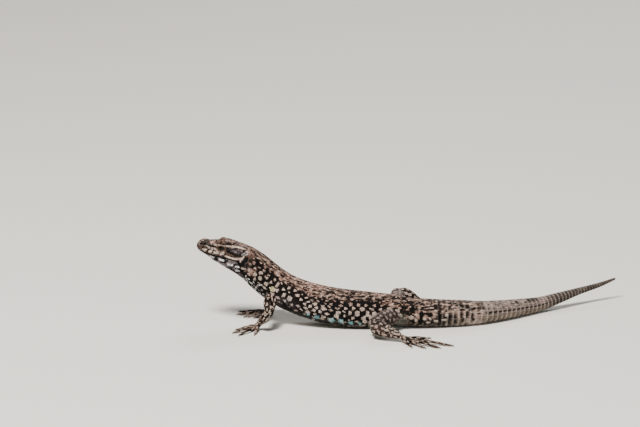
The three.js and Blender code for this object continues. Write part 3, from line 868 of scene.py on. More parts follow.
HIP_MARKS = (  # pale blotches on the hip and the tail's root, with their stretch
    (60.0, 8.3, 0.62, 1.1), (61.3, 7.4, 0.44, 0.9), (61.4, 9.4, 0.50, 0.8), (63.4, 8.7, 0.56, 0.9),
    (65.0, 8.6, 0.50, 1.1), (64.4, 10.1, 0.50, 1.2), (66.4, 9.6, 0.50, 1.2), (68.4, 9.3, 0.50, 1.2),
    (69.0, 7.2, 0.40, 0.9), (65.9, 6.9, 0.32, 1.0), (71.8, 8.9, 0.46, 1.1), (74.6, 9.1, 0.42, 1.1))
TAIL_MARKS = (  # black blotches
    (58.8, 6.4, 0.85, 0.9), (60.3, 5.6, 1.0, 0.7), (62.6, 7.2, 0.85, 0.6), (62.7, 9.9, 0.84, 0.5),
    (64.5, 7.1, 0.86, 1.4), (67.1, 6.2, 0.74, 0.8), (67.1, 8.1, 0.86, 0.9), (70.6, 8.1, 0.86, 1.4),
    (72.8, 7.2, 0.74, 0.6), (74.2, 7.3, 0.78, 0.6), (75.5, 7.9, 0.74, 0.6), (77.2, 7.1, 0.42, 1.2),
    (68.9, 6.0, 0.44, 1.0), (73.0, 5.2, 0.40, 0.8), (75.2, 5.0, 0.40, 0.8), (66.0, 5.2, 0.44, 1.0),
    (65.4, 9.7, 0.66, 0.5), (69.6, 9.6, 0.74, 0.6), (73.2, 9.3, 0.66, 0.7), (76.0, 9.4, 0.50, 0.8),
    (60.7, 10.2, 0.66, 0.5), (67.5, 10.3, 0.68, 0.5), (71.4, 10.2, 0.56, 0.6))
for side in (-1, 1):
    FLANK_SPOTS[side] = np.vstack([
        spot_rows(24.6, 31.0, 2.15, SHOULDER_ROWS, 61 + side, stretch=(0.9, 1.25)),
        spot_rows(31.4, 43.6, 1.95, FLANK_ROWS, 21 + side, stretch=(1.0, 1.4), bars=0.24),
        spot_rows(44.5, 58.5, 2.2, HIP_ROWS, 82 + side, stretch=(0.85, 1.2))])
    NECK_SPOTS[side] = spot_rows(14.6, 24.6, 1.75, NECK_ROWS, 31 + side)
    THROAT_SPOTS[side] = spot_rows(12.5, 24.6, 1.5, THROAT_ROWS, 41 + side, stretch=(0.9, 1.6))
    shift = 0.3 * (side > 0)
    BLUE_SPOTS[side] = np.array([(s + shift, round_, radius, 1.0) for s, round_, radius in BLUE_MARKS])
    dice = np.random.default_rng(76 + side)
    FLECKS[side] = np.vstack([np.column_stack([
        dice.uniform(first, last, count), dice.uniform(0.0, 5.8, count),
        dice.uniform(0.19, 0.34, count), dice.uniform(1.6, 2.8, count)])
        for first, last, count in FLECK_COUNTS])
    for marks, place in ((HIP_MARKS, HIP_SPOTS), (TAIL_MARKS, TAIL_BLOTCHES)):
        place[side] = np.array(marks) + np.column_stack(
            [dice.normal(0, shift + 0.02, (len(marks), 2)), np.zeros((len(marks), 2))])
LIMB_SPOTS = spot_rows(0.0, 16.0, 1.5, LIMB_ROWS, 51)

# The whorls of the tail: where each ring of scales begins.
WHORLS = [60.8]
while WHORLS[-1] < LENGTH - 0.4:
    WHORLS.append(WHORLS[-1] + np.interp(
        WHORLS[-1], (60, 64, 69, 92, 100, 110, 122), (0.55, 0.95, 1.45, 1.5, 1.25, 1.0, 0.6)))
WHORLS = np.array(WHORLS)

# Marks on the side of the head: back and up of a stroke's points, its half width, its colour.
HEAD_STROKES = (
    # the dark line from the nostril to the eye, and the marbled temple behind it
    (((0.9, 0.75), (1.7, 1.15), (2.5, 1.38), (3.8, 1.42), (4.9, 1.75)), 0.24, BLACK, 0.95),
    (((8.2, 2.45), (9.2, 2.85), (10.8, 2.9), (12.2, 2.8)), 0.62, TEMPLE, 0.85),
    (((8.1, 2.1), (9.1, 1.95), (10.9, 2.02), (12.1, 2.3)), 0.30, BLACK, 0.9),
    (((7.5, 2.45), (8.3, 2.6)), 0.20, BLACK, 0.95),
    (((9.8, 2.75), (10.6, 2.7)), 0.22, LILAC, 0.9),
    (((11.0, 3.3), (11.9, 3.25)), 0.20, LILAC, 0.8),
    (((8.9, 3.05), (9.5, 3.15)), 0.12, LILAC, 0.7),
    (((12.2, 2.6), (13.0, 3.7)), 0.07, WHITE, 0.9),
    (((12.6, 2.45), (13.3, 3.35)), 0.07, WHITE, 0.8),
    # a pale spot before the eye, and a pale crescent below it
    (((4.5, 2.15), (5.3, 2.35)), 0.20, CREAM, 0.95),
    (((4.9, 1.4), (5.8, 1.04), (6.8, 0.98), (7.5, 1.4)), 0.19, STRIPE, 1.0),
    # the pale line from the brow to the neck, and its dark edge above
    (((6.5, 3.25), (8.4, 3.78), (10.4, 4.08), (12.4, 4.4)), 0.13, HEAD_DARK, 0.8),
    (((5.6, 2.72), (7.3, 3.02), (8.5, 3.41), (10.4, 3.73), (12.6, 4.06)), 0.18, STRIPE, 1.0),
    # the pale blotches of the upper lip, and the stripe behind them
    (((2.4, -0.25), (2.9, 0.1)), 0.22, CREAM, 1.0),
    (((3.75, -0.1), (4.3, 0.2)), 0.24, CREAM, 1.0),
    (((5.1, 0.35), (6.2, 0.6)), 0.22, CREAM, 0.95),
    (((6.8, 0.6), (7.5, 1.05)), 0.24, CREAM, 1.0),
    (((8.3, 0.68), (9.4, 0.8), (10.4, 0.95), (11.6, 1.28), (12.6, 1.66)), 0.22, STRIPE, 0.95),
    # black along the mouth and between the blotches
    (((1.4, -1.15), (2.8, -1.1), (4.4, -0.75), (5.7, -0.38), (8.3, 0.22), (10.7, 0.5), (12.7, 0.92)),
     0.20, BLACK, 1.0),
    (((1.6, -0.5), (1.9, 0.5)), 0.15, HEAD_DARK, 0.85),
    (((3.3, -0.5), (3.45, 0.45)), 0.14, BLACK, 0.95),
    (((4.7, -0.3), (4.85, 0.6)), 0.14, BLACK, 0.95),
    (((6.4, 0.0), (6.6, 0.95)), 0.13, BLACK, 0.9),
    (((7.9, 0.4), (8.1, 1.3)), 0.12, BLACK, 0.9),
    # white and black blocks on the lower lip and throat
    (((3.0, -1.85), (3.9, -1.6)), 0.22, WHITE, 1.0),
    (((4.5, -1.35), (5.4, -1.15)), 0.25, WHITE, 1.0),
    (((7.1, -0.85), (8.1, -0.62)), 0.25, WHITE, 1.0),
    (((9.7, -1.1), (10.8, -0.85)), 0.30, WHITE, 1.0),
    (((11.8, -0.75), (12.6, -0.6)), 0.25, WHITE, 0.95),
    (((6.1, -1.3), (6.6, -1.1)), 0.32, BLACK, 1.0),
    (((8.6, -1.1), (8.9, -0.5)), 0.30, BLACK, 1.0),
    (((11.1, -1.0), (11.3, -0.4)), 0.20, BLACK, 0.95),
    (((2.2, -1.7), (2.6, -1.5)), 0.24, BLACK, 0.95),
    (((9.5, -2.1), (11.5, -2.1)), 0.24, BLACK, 0.85),
    (((6.9, -1.9), (8.3, -1.7)), 0.24, LILAC, 0.9),
    (((12.2, -1.9), (13.0, -1.6)), 0.28, WHITE, 0.8),
    # round the ear
    (((12.4, 1.0), (12.6, 1.7), (12.75, 2.35)), 0.20, STRIPE, 0.95),
    (((14.3, 1.0), (14.4, 2.3)), 0.22, HEAD_DARK, 0.85),
    (((15.1, 1.3), (15.3, 0.7)), 0.26, CREAM, 0.8),
    (((13.4, -0.5), (14.4, -0.35)), 0.28, CREAM, 0.8),
)


def stroke_cover(x, y, line, half):
    """1 on a stroke drawn through a line of points, 0 away from it."""
    best = np.full(len(x), 9.0)
    for (x0, y0), (x1, y1) in zip(line[:-1], line[1:]):
        dx, dy = x1 - x0, y1 - y0
        t = np.clip(((x - x0) * dx + (y - y0) * dy) / (dx * dx + dy * dy), 0, 1)
        best = np.minimum(best, np.hypot(x - x0 - t * dx, y - y0 - t * dy))
    return smooth(half + 0.09, half - 0.09, best)


ROUND_SCALE = 5.0  # millimetres round the trunk for each radian, the same rows narrowing elsewhere


class Place:
    """Where points lie on the body, and the noise there."""

    def __init__(self, points, s, angle, up, out):
        self.s, self.up, self.out = s, up, out
        self.round = np.abs((angle - np.pi / 2 + np.pi) % (2 * np.pi) - np.pi) * ROUND_SCALE
        self.coarse, self.middle, self.fine = (
            noise(points, size, i) for i, size in enumerate((3.2, 1.1, 0.42)))
        self.wobble = (self.middle - 0.5) * 0.5

    def field(self, marks, first, last, shake=0.5, rule=spot_field):
        """How strongly each side's own marks cover the points between two lengths."""
        total = np.zeros(len(self.s))
        for side, mask in ((-1, self.out <= 0), (1, self.out > 0)):
            pick = np.nonzero(mask & (self.s > first) & (self.s < last))[0]
            if len(pick):
                round_ = self.round[pick] + self.wobble[pick] * shake
                total[pick] = rule(self.s[pick], round_, marks[side])
        return total


def paint_back(at, flecks):
    """Warm brown and pink scales with dark flecks that run along them."""
    base = mix(BACK, PINK, smooth(0.35, 0.72, at.middle * 0.5 + at.fine * 0.5))
    base = mix(base, ROSE, smooth(0.52, 0.70, at.coarse) * 0.2)
    base = uneven(base, 0.76, 0.42, smooth(0.2, 0.8, at.fine))
    # Cream specks: pale scales with painted highlights on them.
    base = mix(base, CREAM, smooth(0.60, 0.74, at.fine) * 0.45)
    dark = mix(BACK_DARK, BLACK, smooth(34, 44, at.s))
    return mix(base, dark, smooth(0.25, 0.5, flecks) * 0.95)


def paint_flank(at):
    """Pale round spots in a black net, greyer behind the arm."""
    spots = np.where(at.s < 24.3, at.field(NECK_SPOTS, 12.5, 26, 0.4), at.field(FLANK_SPOTS, 22, 62, 0.25))
    pale = mix(PINK, CREAM, smooth(4.8, 8.2, at.round + (at.coarse - 0.5) * 3))
    pale = uneven(pale, 0.70, 0.40, smooth(0.3, 0.7, at.fine * 0.5 + at.middle * 0.5))
    net = mix(BLACK, BACK_DARK, smooth(0.5, 0.7, at.coarse))
    colour = mix(net, pale, spotted(spots))
    # Behind the arm and below the ear the skin between the spots is paler.
    shoulder = blob(at.s, at.round, (27.8, 10.0), (3.2, 1.9))
    grey = mix(LILAC * 0.62, LILAC_PALE, spotted(spots))
    grey = mix(grey, BLACK, smooth(0.54, 0.64, at.middle * 0.4 + at.fine * 0.6) * 0.8)
    colour = mix(colour, uneven(grey, 0.75, 0.45, at.fine), np.clip(shoulder * 1.25, 0, 1) * 0.9)
    nape = np.clip(blob(at.s, at.round, (15.8, 7.6), (1.5, 1.3)) * 1.3, 0, 1)
    return mix(colour, uneven(PINK, 0.7, 0.5, at.fine), nape * smooth(0.40, 0.54, at.fine) * 0.8)


def paint_belly(at):
    """Pale plates, black towards the flanks."""
    belly = mix(BELLY, WHITE, smooth(0.3, 0.8, at.coarse))
    mottle = smooth(0.56, 0.66, at.middle * 0.7 + at.coarse * 0.3)
    belly = mix(belly, BLACK, mottle * smooth(15.5, 12.0, at.round))
    outer = mix(BLACK, belly, smooth(0.52, 0.66, at.middle * 0.6 + at.fine * 0.4))
    return mix(outer, belly, smooth(12.2, 13.4, at.round + at.wobble))


def paint_throat(at):
    """White blocks on black, paler under the middle of the chin."""
    spots = at.field(THROAT_SPOTS, 11.5, 26, 0.8)
    colour = mix(BLACK, mix(LILAC, WHITE, smooth(0.25, 0.5, at.fine)), spotted(spots))
    middle = mix(mix(BELLY, WHITE, at.fine), BLACK, smooth(0.56, 0.66, at.middle))
    return mix(colour, middle, smooth(13.2, 14.6, at.round))


def paint_tail(at, flecks):
    """A blotched root, then the plain regrown length with a thin dark line and ringed end."""
    s, round_ = at.s, at.round
    ring = np.clip(np.searchsorted(WHORLS, s) - 1, 0, len(WHORLS) - 2)
    phase = np.clip((s - WHORLS[ring]) / (WHORLS[ring + 1] - WHORLS[ring]), 0, 1)
    edge = np.clip(smooth(0.72, 0.86, phase) + smooth(0.14, 0.06, phase), 0, 1)
    colour = mix(TAIL_TOP, TAIL_TOP * 0.66, smooth(0.42, 0.72, at.middle * 0.6 + at.fine * 0.4))
    # Cream specks on top: pale scales with painted highlights on them.
    colour = mix(colour, CREAM, smooth(0.56, 0.72, at.fine) * 0.7)
    colour = mix(colour, BLACK, smooth(0.22, 0.45, flecks) * smooth(6.4, 5.4, round_) * 0.95)
    # The lower side takes the underside colour, painted darker as shade, and darkest before 70 mm.
    below = uneven(mix(TAIL_LOW_SHADED, CREAM, smooth(0.4, 0.7, at.middle)), 0.62, 0.3, smooth(70, 76, s))
    colour = mix(colour, below, smooth(8.2, 9.4, round_ + at.wobble))
    specks = smooth(0.445, 0.52, at.fine * 0.6 + at.middle * 0.4) * (1 - 0.75 * smooth(68, 74, s))
    colour = mix(colour, BLACK, specks * smooth(6.0, 7.0, round_) * smooth(14.0, 11.5, round_) * 0.93)
    colour = mix(colour, CREAM, spotted(at.field(HIP_SPOTS, 57, 71, 0.8)) * 0.95)
    colour = mix(colour, BLACK, spotted(at.field(TAIL_BLOTCHES, 56, 80, 1.0), 0.6) * 0.96)
    # The regrown length.
    plain = mix(TAIL_GREY, TAIL_GREY * 0.72, smooth(0.35, 0.75, at.middle * 0.5 + at.fine * 0.5))
    plain = mix(plain, BACK_DARK, smooth(0.58, 0.70, at.middle) * smooth(4.6, 3.0, round_) * 0.8)
    plain = mix(plain, BACK_DARK, smooth(0.60, 0.72, at.fine) * smooth(6.2, 5.2, round_) * 0.8)
    # The regrown length's lower side is painted darker too, as shade.
    low = uneven(TAIL_LOW_SHADED, 0.62, 0.5, smooth(0.25, 0.75, at.fine * 0.5 + at.middle * 0.5))
    plain = mix(plain, low, smooth(7.4, 8.8, round_))
    drift = round_ - 6.9 + 0.5 * (phase - 0.5)
    line = np.exp(-((drift / 0.46) ** 2)) * smooth(116, 100, s) * smooth(0.95, 0.8, phase)
    plain = mix(plain, BLACK, np.clip(line * 1.25, 0, 1) * 0.95)
    ends = smooth(0.84, 0.94, phase) + smooth(0.08, 0.02, phase)
    end = uneven(TAIL_END, 0.72, 0.5, smooth(0.25, 0.75, at.fine))
    # Lower down, the end's rings are painted darker as shade.
    end = mix(end, end * 0.62, smooth(7.0, 9.0, round_) * smooth(112, 104, s))
    end = mix(end, TAIL_EDGE, np.clip(ends, 0, 1) * (0.52 - 0.25 * smooth(104, 114, s)))
    plain = mix(plain, end, smooth(96, 104, s))
    colour = mix(colour, plain, smooth(REGROWN - 0.4, REGROWN + 0.8, s))
    pale_edge = edge * smooth(64, 70, s) * smooth(106, 98, s)
    return mix(colour, TAIL_EDGE, pale_edge * (0.26 + 0.12 * smooth(6, 8, round_)))


def paint_head(at, points):
    """Brown shields above, striped and blotched sides."""
    grain = noise(points, 0.26, 4)
    top = mix(HEAD_DARK, HEAD_TOP, smooth(0.30, 0.52, at.middle * 0.45 + at.fine * 0.55))
    top = mix(top, ROSE, smooth(6.0, 3.0, at.s) * 0.2)
    top = mix(top, PINK, smooth(0.50, 0.72, at.fine * 0.6 + at.middle * 0.4) * 0.85)
    # The top of the snout is painted lighter pink: its own pinkish colour and a painted highlight.
    top = mix(top, PINK, smooth(4.8, 3.4, at.s) * smooth(0.34, 0.52, at.fine) * 0.6)
    top = mix(top, HEAD_DARK, smooth(0.66, 0.80, grain) * 0.7)
    sides = mix(HEAD_TOP * 0.8, LILAC, smooth(0.4, 0.7, at.fine) * smooth(3.0, 1.0, at.up))
    sides = mix(sides, HEAD_DARK, smooth(0.46, 0.62, at.fine) * 0.7)
    lower = at.up < np.interp(at.s, MOUTH_BACK, MOUTH_UP)
    jaw = mix(LILAC, BLACK, smooth(0.40, 0.54, at.middle * 0.6 + at.fine * 0.4))
    sides = np.where((lower | (at.s > 11.9) & (at.up < 0.4))[:, None], jaw, sides)
    face = mix(sides, top, np.where(at.s > 4.6, smooth(2.6, 3.3, at.up), smooth(1.6, 2.1, at.up)))
    snout = smooth(5.6, 4.4, at.s)
    face = mix(face, BLACK, snout * smooth(0.52, 0.61, grain * 0.45 + at.middle * 0.55) * 0.88)
    face = mix(face, CREAM, snout * smooth(0.54, 0.66, at.fine * 0.7 + grain * 0.3) * 0.7)
    beside = np.abs(at.out) > 0.9
    temple = np.exp(-(((at.s - 10.4) / 2.0) ** 2 + ((at.up - 2.75) / 0.7) ** 2) ** 2)
    for line, half, shade, strength in HEAD_STROKES:
        cover = stroke_cover(at.s, at.up + at.wobble * 0.25, line, half) * beside
        if line[0][1] > 2.6:  # strokes on the brow don't reach over the top of the head
            cover = cover * smooth(1.9, 2.3, np.abs(at.out))
        face = mix(face, uneven(shade, 0.8, 0.4, grain), cover * strength)
    face = mix(face, LILAC * 0.8, temple * smooth(0.50, 0.62, at.fine) * beside * 0.85)
    for eye in EYES.values():
        slit, over, outward, _ = eye_plane(eye, points)
        ring = smooth(1.62, 1.4, np.hypot(slit / OPEN_LONG, over / OPEN_TALL)) * (outward > 0)
        face = mix(face, uneven(LID_COLOUR, 0.75, 0.5, grain), ring * smooth(0.35, 0.55, at.fine))
    return face


BACK_EDGE_ALONG = (13, 20, 26, 33, 42, 50, 54, 58, 62, 70)  # where the back gives way to the flank
BACK_EDGE_ROUND = (3.3, 3.6, 4.3, 4.7, 4.2, 4.1, 4.5, 5.7, 5.8, 6.0)
YELLOW_SPOT = np.array([(23.3, 7.9, 0.62, 1.0)])
WHITE_BAR = ((19.9, 9.7), (20.6, 8.7))


def paint_body(points, s, angle, up, out):
    """The colours of head, body and tail."""
    at = Place(points, s, angle, up, out)
    flecks = at.field(FLECKS, 12.5, 83, 0.0, fleck_field)
    flank = smooth(-0.3, 0.3, at.round - np.interp(s, BACK_EDGE_ALONG, BACK_EDGE_ROUND) + at.wobble * 2.6)
    colour = mix(paint_back(at, flecks), paint_flank(at), flank)
    colour = mix(colour, paint_belly(at), smooth(10.3, 10.9, at.round + at.wobble) * smooth(24, 26, s))
    blue = at.field(BLUE_SPOTS, 31, 50, 0.8)
    sky = uneven(BLUE, 0.75, 0.5, at.fine)
    colour = mix(colour, BLACK, spotted(blue * 2.2, 0.4))
    colour = mix(colour, mix(sky, WHITE, smooth(0.6, 0.75, at.fine) * 0.5), spotted(blue, 0.4))
    colour = mix(colour, paint_throat(at), smooth(9.6, 10.2, at.round + at.wobble) * smooth(25.5, 23.5, s))
    # One spot over the left shoulder is yellow, and a white bar runs down the neck before it.
    yellow = spotted(spot_field(s, at.round, YELLOW_SPOT)) * (out <= 0)
    colour = mix(colour, YELLOW, yellow)
    colour = mix(colour, WHITE, stroke_cover(s, at.round, WHITE_BAR, 0.17) * (out <= 0))
    # The groin behind the thigh is plain grey green.
    groin = np.clip(blob(s, at.round, (57.6, 10.0), (2.2, 2.2)) * 1.25, 0, 1)
    colour = mix(colour, uneven(GROIN, 0.8, 0.35, at.fine), groin * 0.85)
    colour = mix(colour, paint_tail(at, flecks), smooth(57.5, 60.5, s + at.wobble * 3))
    head = np.nonzero(s < HEAD_END)[0]
    if len(head):
        near = Place(points[head], s[head], angle[head], up[head], out[head])
        cover = smooth(15.6, 13.8, s[head] + near.wobble)
        colour[head] = mix(colour[head], paint_head(near, points[head]), cover)
    return colour


TUBE_LENGTHS = np.array([tube.length for tube in TUBES.values()])
IS_FOOT = of_tubes(lambda name: ".toe" in name or ".sole" in name)
IS_THIGH = of_tubes(lambda name: "hind" in name and "upper" in name)
NET_SHARE = of_tubes(lambda name: 0.52 if "fore" in name else 0.47 if "lower" in name else 0.38)
LIMB_ROUND = 1.9  # millimetres round a limb for each radian


def paint_limb(points, number, share, angle):
    """Pale spots with dark rims, blacker on the arms and greyer on the thighs; toes banded across."""
    coarse, middle, fine = (noise(points, size, 5 + i) for i, size in enumerate((2.4, 0.9, 0.4)))
    along = share * TUBE_LENGTHS[number] + number * 0.37 % 1.3
    round_ = ((angle + np.pi) % (2 * np.pi) - np.pi) * LIMB_ROUND
    field = spot_field(along, round_ + (middle - 0.5) * 0.5, LIMB_SPOTS)
    leg = mix(LIMB_NET, LIMB, smooth(-0.05, 0.07, middle * 0.6 + fine * 0.4 - NET_SHARE[number]))
    leg = uneven(leg, 0.7, 0.5, fine)
    rim = np.clip(1 - np.abs(field - 0.09) / 0.085, 0, 1)
    leg = mix(leg, LIMB_NET * 0.5, rim * 0.9)
    thigh = IS_THIGH[number][:, None]
    leg = leg + (uneven(LIMB, 0.7, 0.6, fine) - leg) * thigh * 0.6
    pale = mix(LIMB_SPOT, PINK, smooth(0.45, 0.75, coarse) * 0.6)
    leg = mix(leg, pale + (LILAC - pale) * thigh * 0.55, spotted(field))
    under = smooth(-0.55, -0.95, np.sin(angle))
    leg = mix(leg, uneven(BELLY, 0.75, 0.3, fine), under * 0.8)
    band = noise(np.column_stack([along, number * 3.7, round_ * 0.35]), 0.62, 9)
    paw = mix(LIMB_NET, FOOT, smooth(0.36, 0.48, band))
    paw = mix(paw, LIMB_SPOT, smooth(0.50, 0.64, band * 0.7 + fine * 0.3))
    return mix(leg, paw, IS_FOOT[number])


CONTRAST, RICHNESS, DARKEST = 1.5, 0.78, 0.0012


def deepen(colour):
    """Soft light pales a hide, so its paint is a little deeper and stronger than it looks."""
    grey = colour.mean(-1, keepdims=True)
    strong = np.clip(grey + (colour - grey) * RICHNESS, 0, 1)
    return np.clip(strong ** CONTRAST, DARKEST, 1)


def paint(points):
    """The animal's colour at points on or near its skin."""
    points = np.asarray(points, float)
    s, angle, height, up, out = BODY.place(points)
    colour = paint_body(points, s, angle, up, out)
    number, share, limb_angle, limb_height = limb_place(points)
    near = np.nonzero(number >= 0)[0]
    if len(near):
        limb = paint_limb(points[near], number[near], share[near], limb_angle[near])
        cover = smooth(-0.15, 0.65, height[near] - limb_height[near])
        colour[near] = mix(colour[near], limb, cover)
    return deepen(np.clip(colour, 0.0, 1))


STRIPS = 7  # the limbs' strips of the layout lie in columns of this many


def unwrap(points):
    """Each point's place on a flat layout of the skin: the body above, the limbs in strips below."""
    s, angle, height, _, _ = BODY.place(points)
    uv = np.column_stack([0.02 + 0.96 * s / LENGTH, 0.52 + 0.46 * ((angle / (2 * np.pi)) % 1)])
    number, share, limb_angle, limb_height = limb_place(points)
    limb = (number >= 0) & (limb_height < height)
    lower = np.column_stack([
        0.02 + 0.24 * (number // STRIPS) + 0.22 * share,
        0.02 + 0.07 * (number % STRIPS) + 0.06 * ((limb_angle / (2 * np.pi)) % 1)])
    uv[limb] = lower[limb]
    return uv


# ---------- Materials ----------


def add_node(tree, kind, values, links):
    """A node with its own values, and links to it from the outputs of others."""
    made = tree.nodes.new(kind)
    for socket, value in values.items():
        made.inputs[socket].default_value = value
    for socket, source in links.items():
        tree.links.new(source, made.inputs[socket])
    return made


BUMP_DISTANCE = 0.00004
GLOSS_DOWN, GLOSS_UP = 0.12, 0.14  # how far the roughness wanders


def hide_material(name, roughness, bump, grain, coat=0.0, variation=0.25, gloss_level=0.09,
                  coat_roughness=0.3):
    """Skin or scale: the painted colour with fine grain, bump and uneven gloss."""
    material = bpy.data.materials.new(name)
    material.use_nodes = True
    tree = material.node_tree
    shader = tree.nodes["Principled BSDF"]
    place = tree.nodes.new("ShaderNodeTexCoord")
    painted = tree.nodes.new("ShaderNodeAttribute")
    painted.attribute_name = "Colour"
    grains = add_node(tree, "ShaderNodeTexNoise", {"Scale": grain, "Detail": 6.0, "Roughness": 0.62},
                      {"Vector": place.outputs["Object"]}).outputs["Fac"]
    # Light and dark variation over the painted colour.
    light = add_node(tree, "ShaderNodeMapRange", {
        "From Min": 0.3, "From Max": 0.7, "To Min": 1 - variation, "To Max": 1 + variation},
        {"Value": grains})
    shade = add_node(tree, "ShaderNodeVectorMath", {}, {"Vector": painted.outputs["Color"]})
    shade.operation = "SCALE"
    tree.links.new(light.outputs["Result"], shade.inputs["Scale"])
    gloss = add_node(tree, "ShaderNodeMapRange", {
        "To Min": roughness - GLOSS_DOWN, "To Max": roughness + GLOSS_UP}, {"Value": grains})
    relief = add_node(tree, "ShaderNodeBump", {"Strength": bump, "Distance": BUMP_DISTANCE},
                      {"Height": grains})
    for socket, source in (("Base Color", shade.outputs["Vector"]), ("Roughness", gloss.outputs["Result"]),
                           ("Normal", relief.outputs["Normal"])):
        tree.links.new(source, shader.inputs[socket])
    shader.inputs["Specular IOR Level"].default_value = gloss_level
    shader.inputs["Coat Weight"].default_value = coat
    shader.inputs["Coat Roughness"].default_value = coat_roughness
    return material


SKIN = hide_material("skin", 0.62, 0.5, 5200.0)
SCALE = hide_material("scales", 0.5, 0.45, 6800.0)
SHIELD = hide_material("shields", 0.46, 0.5, 4200.0, variation=0.3, gloss_level=0.14)
CLAW = hide_material("claws", 0.32, 0.25, 3000.0, coat=0.4, gloss_level=0.3)
EYE = hide_material("eyes", 0.2, 0.0, 3000.0, coat=0.12, variation=0.12, gloss_level=0.06,
                    coat_roughness=0.03)
DRUM = hide_material("ear_drums", 0.34, 0.3, 2600.0, coat=0.15, gloss_level=0.2)

# ---------- Pieces of the coat ----------


PATCH = 0.0015  # half the width of a scale's patch in the OFBake map


def dress(piece, colours, uv, material, slot, *nodes):
    """Gives a piece its paint, its OFBake map and its material, and hides the solids it stands for; slot is
    not used.
    """
    layer = piece.data.color_attributes.new("Colour", "FLOAT_COLOR", "POINT")
    values = np.column_stack([colours, np.ones(len(colours))]).astype(np.float32)
    layer.data.foreach_set("color", values.ravel())
    corners = read(piece.data.loops, "vertex_index", np.int32, 1)[:, 0]
    layer = piece.data.uv_layers.new(name="OFBake")
    layer.data.foreach_set("uv", uv[corners].astype(np.float32).ravel())
    piece.data.materials.append(material)
    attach(piece, "root")
    if nodes:
        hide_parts(*nodes)


class Coat:
    """A joined mesh of scales or plates, gathered batch by batch."""

    def __init__(self, name, slot, material):
        self.name, self.slot, self.material = name, slot, material
        self.batches, self.count = [], 0

    def add(self, points, quads, tris, colours, uv):
        self.batches.append((points, quads + self.count, tris + self.count, colours, uv))
        self.count += len(points)

    def finish(self):
        points, quads, tris, colours, uv = (np.concatenate(parts) for parts in zip(*self.batches))
        rest_on_floor(points)
        faces = [f for f in (quads, tris) if len(f)]
        dress(make_mesh(self.name, points, faces), colours, uv, self.material, self.slot)
        print(self.name, sum(len(f) * (f.shape[1] - 2) for f in faces), "triangles")


class Template:
    """One scale's shape: along (1 is its free rear), across, height, keel and painted shade at each point.
    """

    def __init__(self, rings, sides, point_rear=0.0, square=2.4, keel=0.0, edge=0.0):
        theta = 2 * np.pi * (np.arange(sides) + 0.5) / sides
        c, d = np.cos(theta), np.sin(theta)
        u = np.sign(c) * np.abs(c) ** (2 / square)
        v = np.sign(d) * np.abs(d) ** (2 / square)
        rear = np.clip(u, 0, 1)
        u = u + point_rear * rear * (1 - np.abs(v)) - point_rear * 0.35 * rear
        rows = []
        for size, height, shade in rings:
            ridge = keel * (1 - np.abs(v) * size) ** 2 if size < 1 else 0 * v
            # edge paints a scale's raised rear lighter, as its pale margin and as painted light, and its
            # front darker, as painted shade under the scale ahead.
            light = 1 + edge * (smooth(0.35, 0.8, u * size) * 1.3 - smooth(0.3, -0.6, u * size) * 0.5)
            rows.append(np.column_stack([u * size, v * size, height + ridge, shade * light]))
        rows.append([[0, 0, rings[-1][1] * 1.04 + keel, rings[-1][2]], [0, 0, rings[0][1], rings[0][2]]])
        table = np.concatenate(rows)
        self.u, self.v, self.h, self.shade = table.T
        index, after, self.quads = ring_quads(len(rings), sides)
        top = len(rings) * sides
        self.tris = np.concatenate(end_fans(index, after, top + 1, top)[::-1])

    def lay(self, coat, points, colours, seats, flip=False):
        """Adds a batch of scales to a coat, each with its patch of the layout at its seat."""
        patch = np.column_stack([self.u, self.v]) * PATCH
        uv = (unwrap(seats)[:, None] + patch[None]).reshape(-1, 2)
        base = (np.arange(len(seats)) * len(self.u))[:, None, None]
        quads, tris = (self.quads + base).reshape(-1, 4), (self.tris + base).reshape(-1, 3)
        if flip:
            quads, tris = quads[:, ::-1], tris[:, ::-1]
        coat.add(points, quads, tris, colours, uv)


SINK = 0.03  # how deep a scale's root lies in the skin


def sized(count, *values):
    """Each value as a column, one row for each scale."""
    return (np.broadcast_to(np.asarray(value, float), (count,))[:, None] for value in values)


def stamp(coat, template, centre, normal, lie, length, width, thick, tilt, colour):
    """Sets one scale at each centre, flat on the skin, with its free edge raised along the lie."""
    if not len(centre):
        return
    lie = unit(lie - normal * (lie * normal).sum(-1, keepdims=True))
    across = np.cross(normal, lie)
    length, width, thick, tilt = sized(len(centre), length, width, thick, tilt)
    u, v = template.u * length / 2, template.v * width / 2
    h = template.h * thick - SINK + (template.u + 1) / 2 * tilt
    points = centre[:, None] + u[..., None] * lie[:, None] + v[..., None] * across[:, None]
    points = (points + h[..., None] * normal[:, None]).reshape(-1, 3)
    colours = (colour[:, None] * template.shade[None, :, None]).reshape(-1, 3)
    template.lay(coat, points, colours, centre)


def wrap(coat, template, tube, s, angle, length, turn, thick, tilt, grow, colour=None,
         blend=1.0, vary=0.0):
    """Sets larger scales that bend round a tube; turn is each one's width as an angle.

    Without a colour of their own they are painted as the body is; blend is how much of the
    body's change across a scale it shows, and vary how unlike its neighbours it is.
    """
    n = len(angle)
    if not n:
        return
    s, length, turn, thick, tilt, grow = sized(n, s, length, turn, thick, tilt, grow)
    angle = angle[:, None]
    along = np.clip(s + template.u * length / 2, 0.01, tube.length - 0.01)
    h = template.h * thick - SINK + (template.u + 1) / 2 * tilt + grow
    points = tube.surface(along, angle + template.v * turn / 2, h).reshape(-1, 3)
    if colour is None:
        seen = tube.surface(along, angle + template.v * turn / 2 * blend, h).reshape(-1, 3)
        shade = template.shade[None] * rng.uniform(1 - vary, 1 + vary, (n, 1))
        colours = paint(seen) * shade.reshape(-1, 1)
    else:
        colours = (colour[:, None] * template.shade[None, :, None]).reshape(-1, 3)
    template.lay(coat, points, colours, tube.surface(s[:, 0], angle[:, 0], 0.0), flip=True)
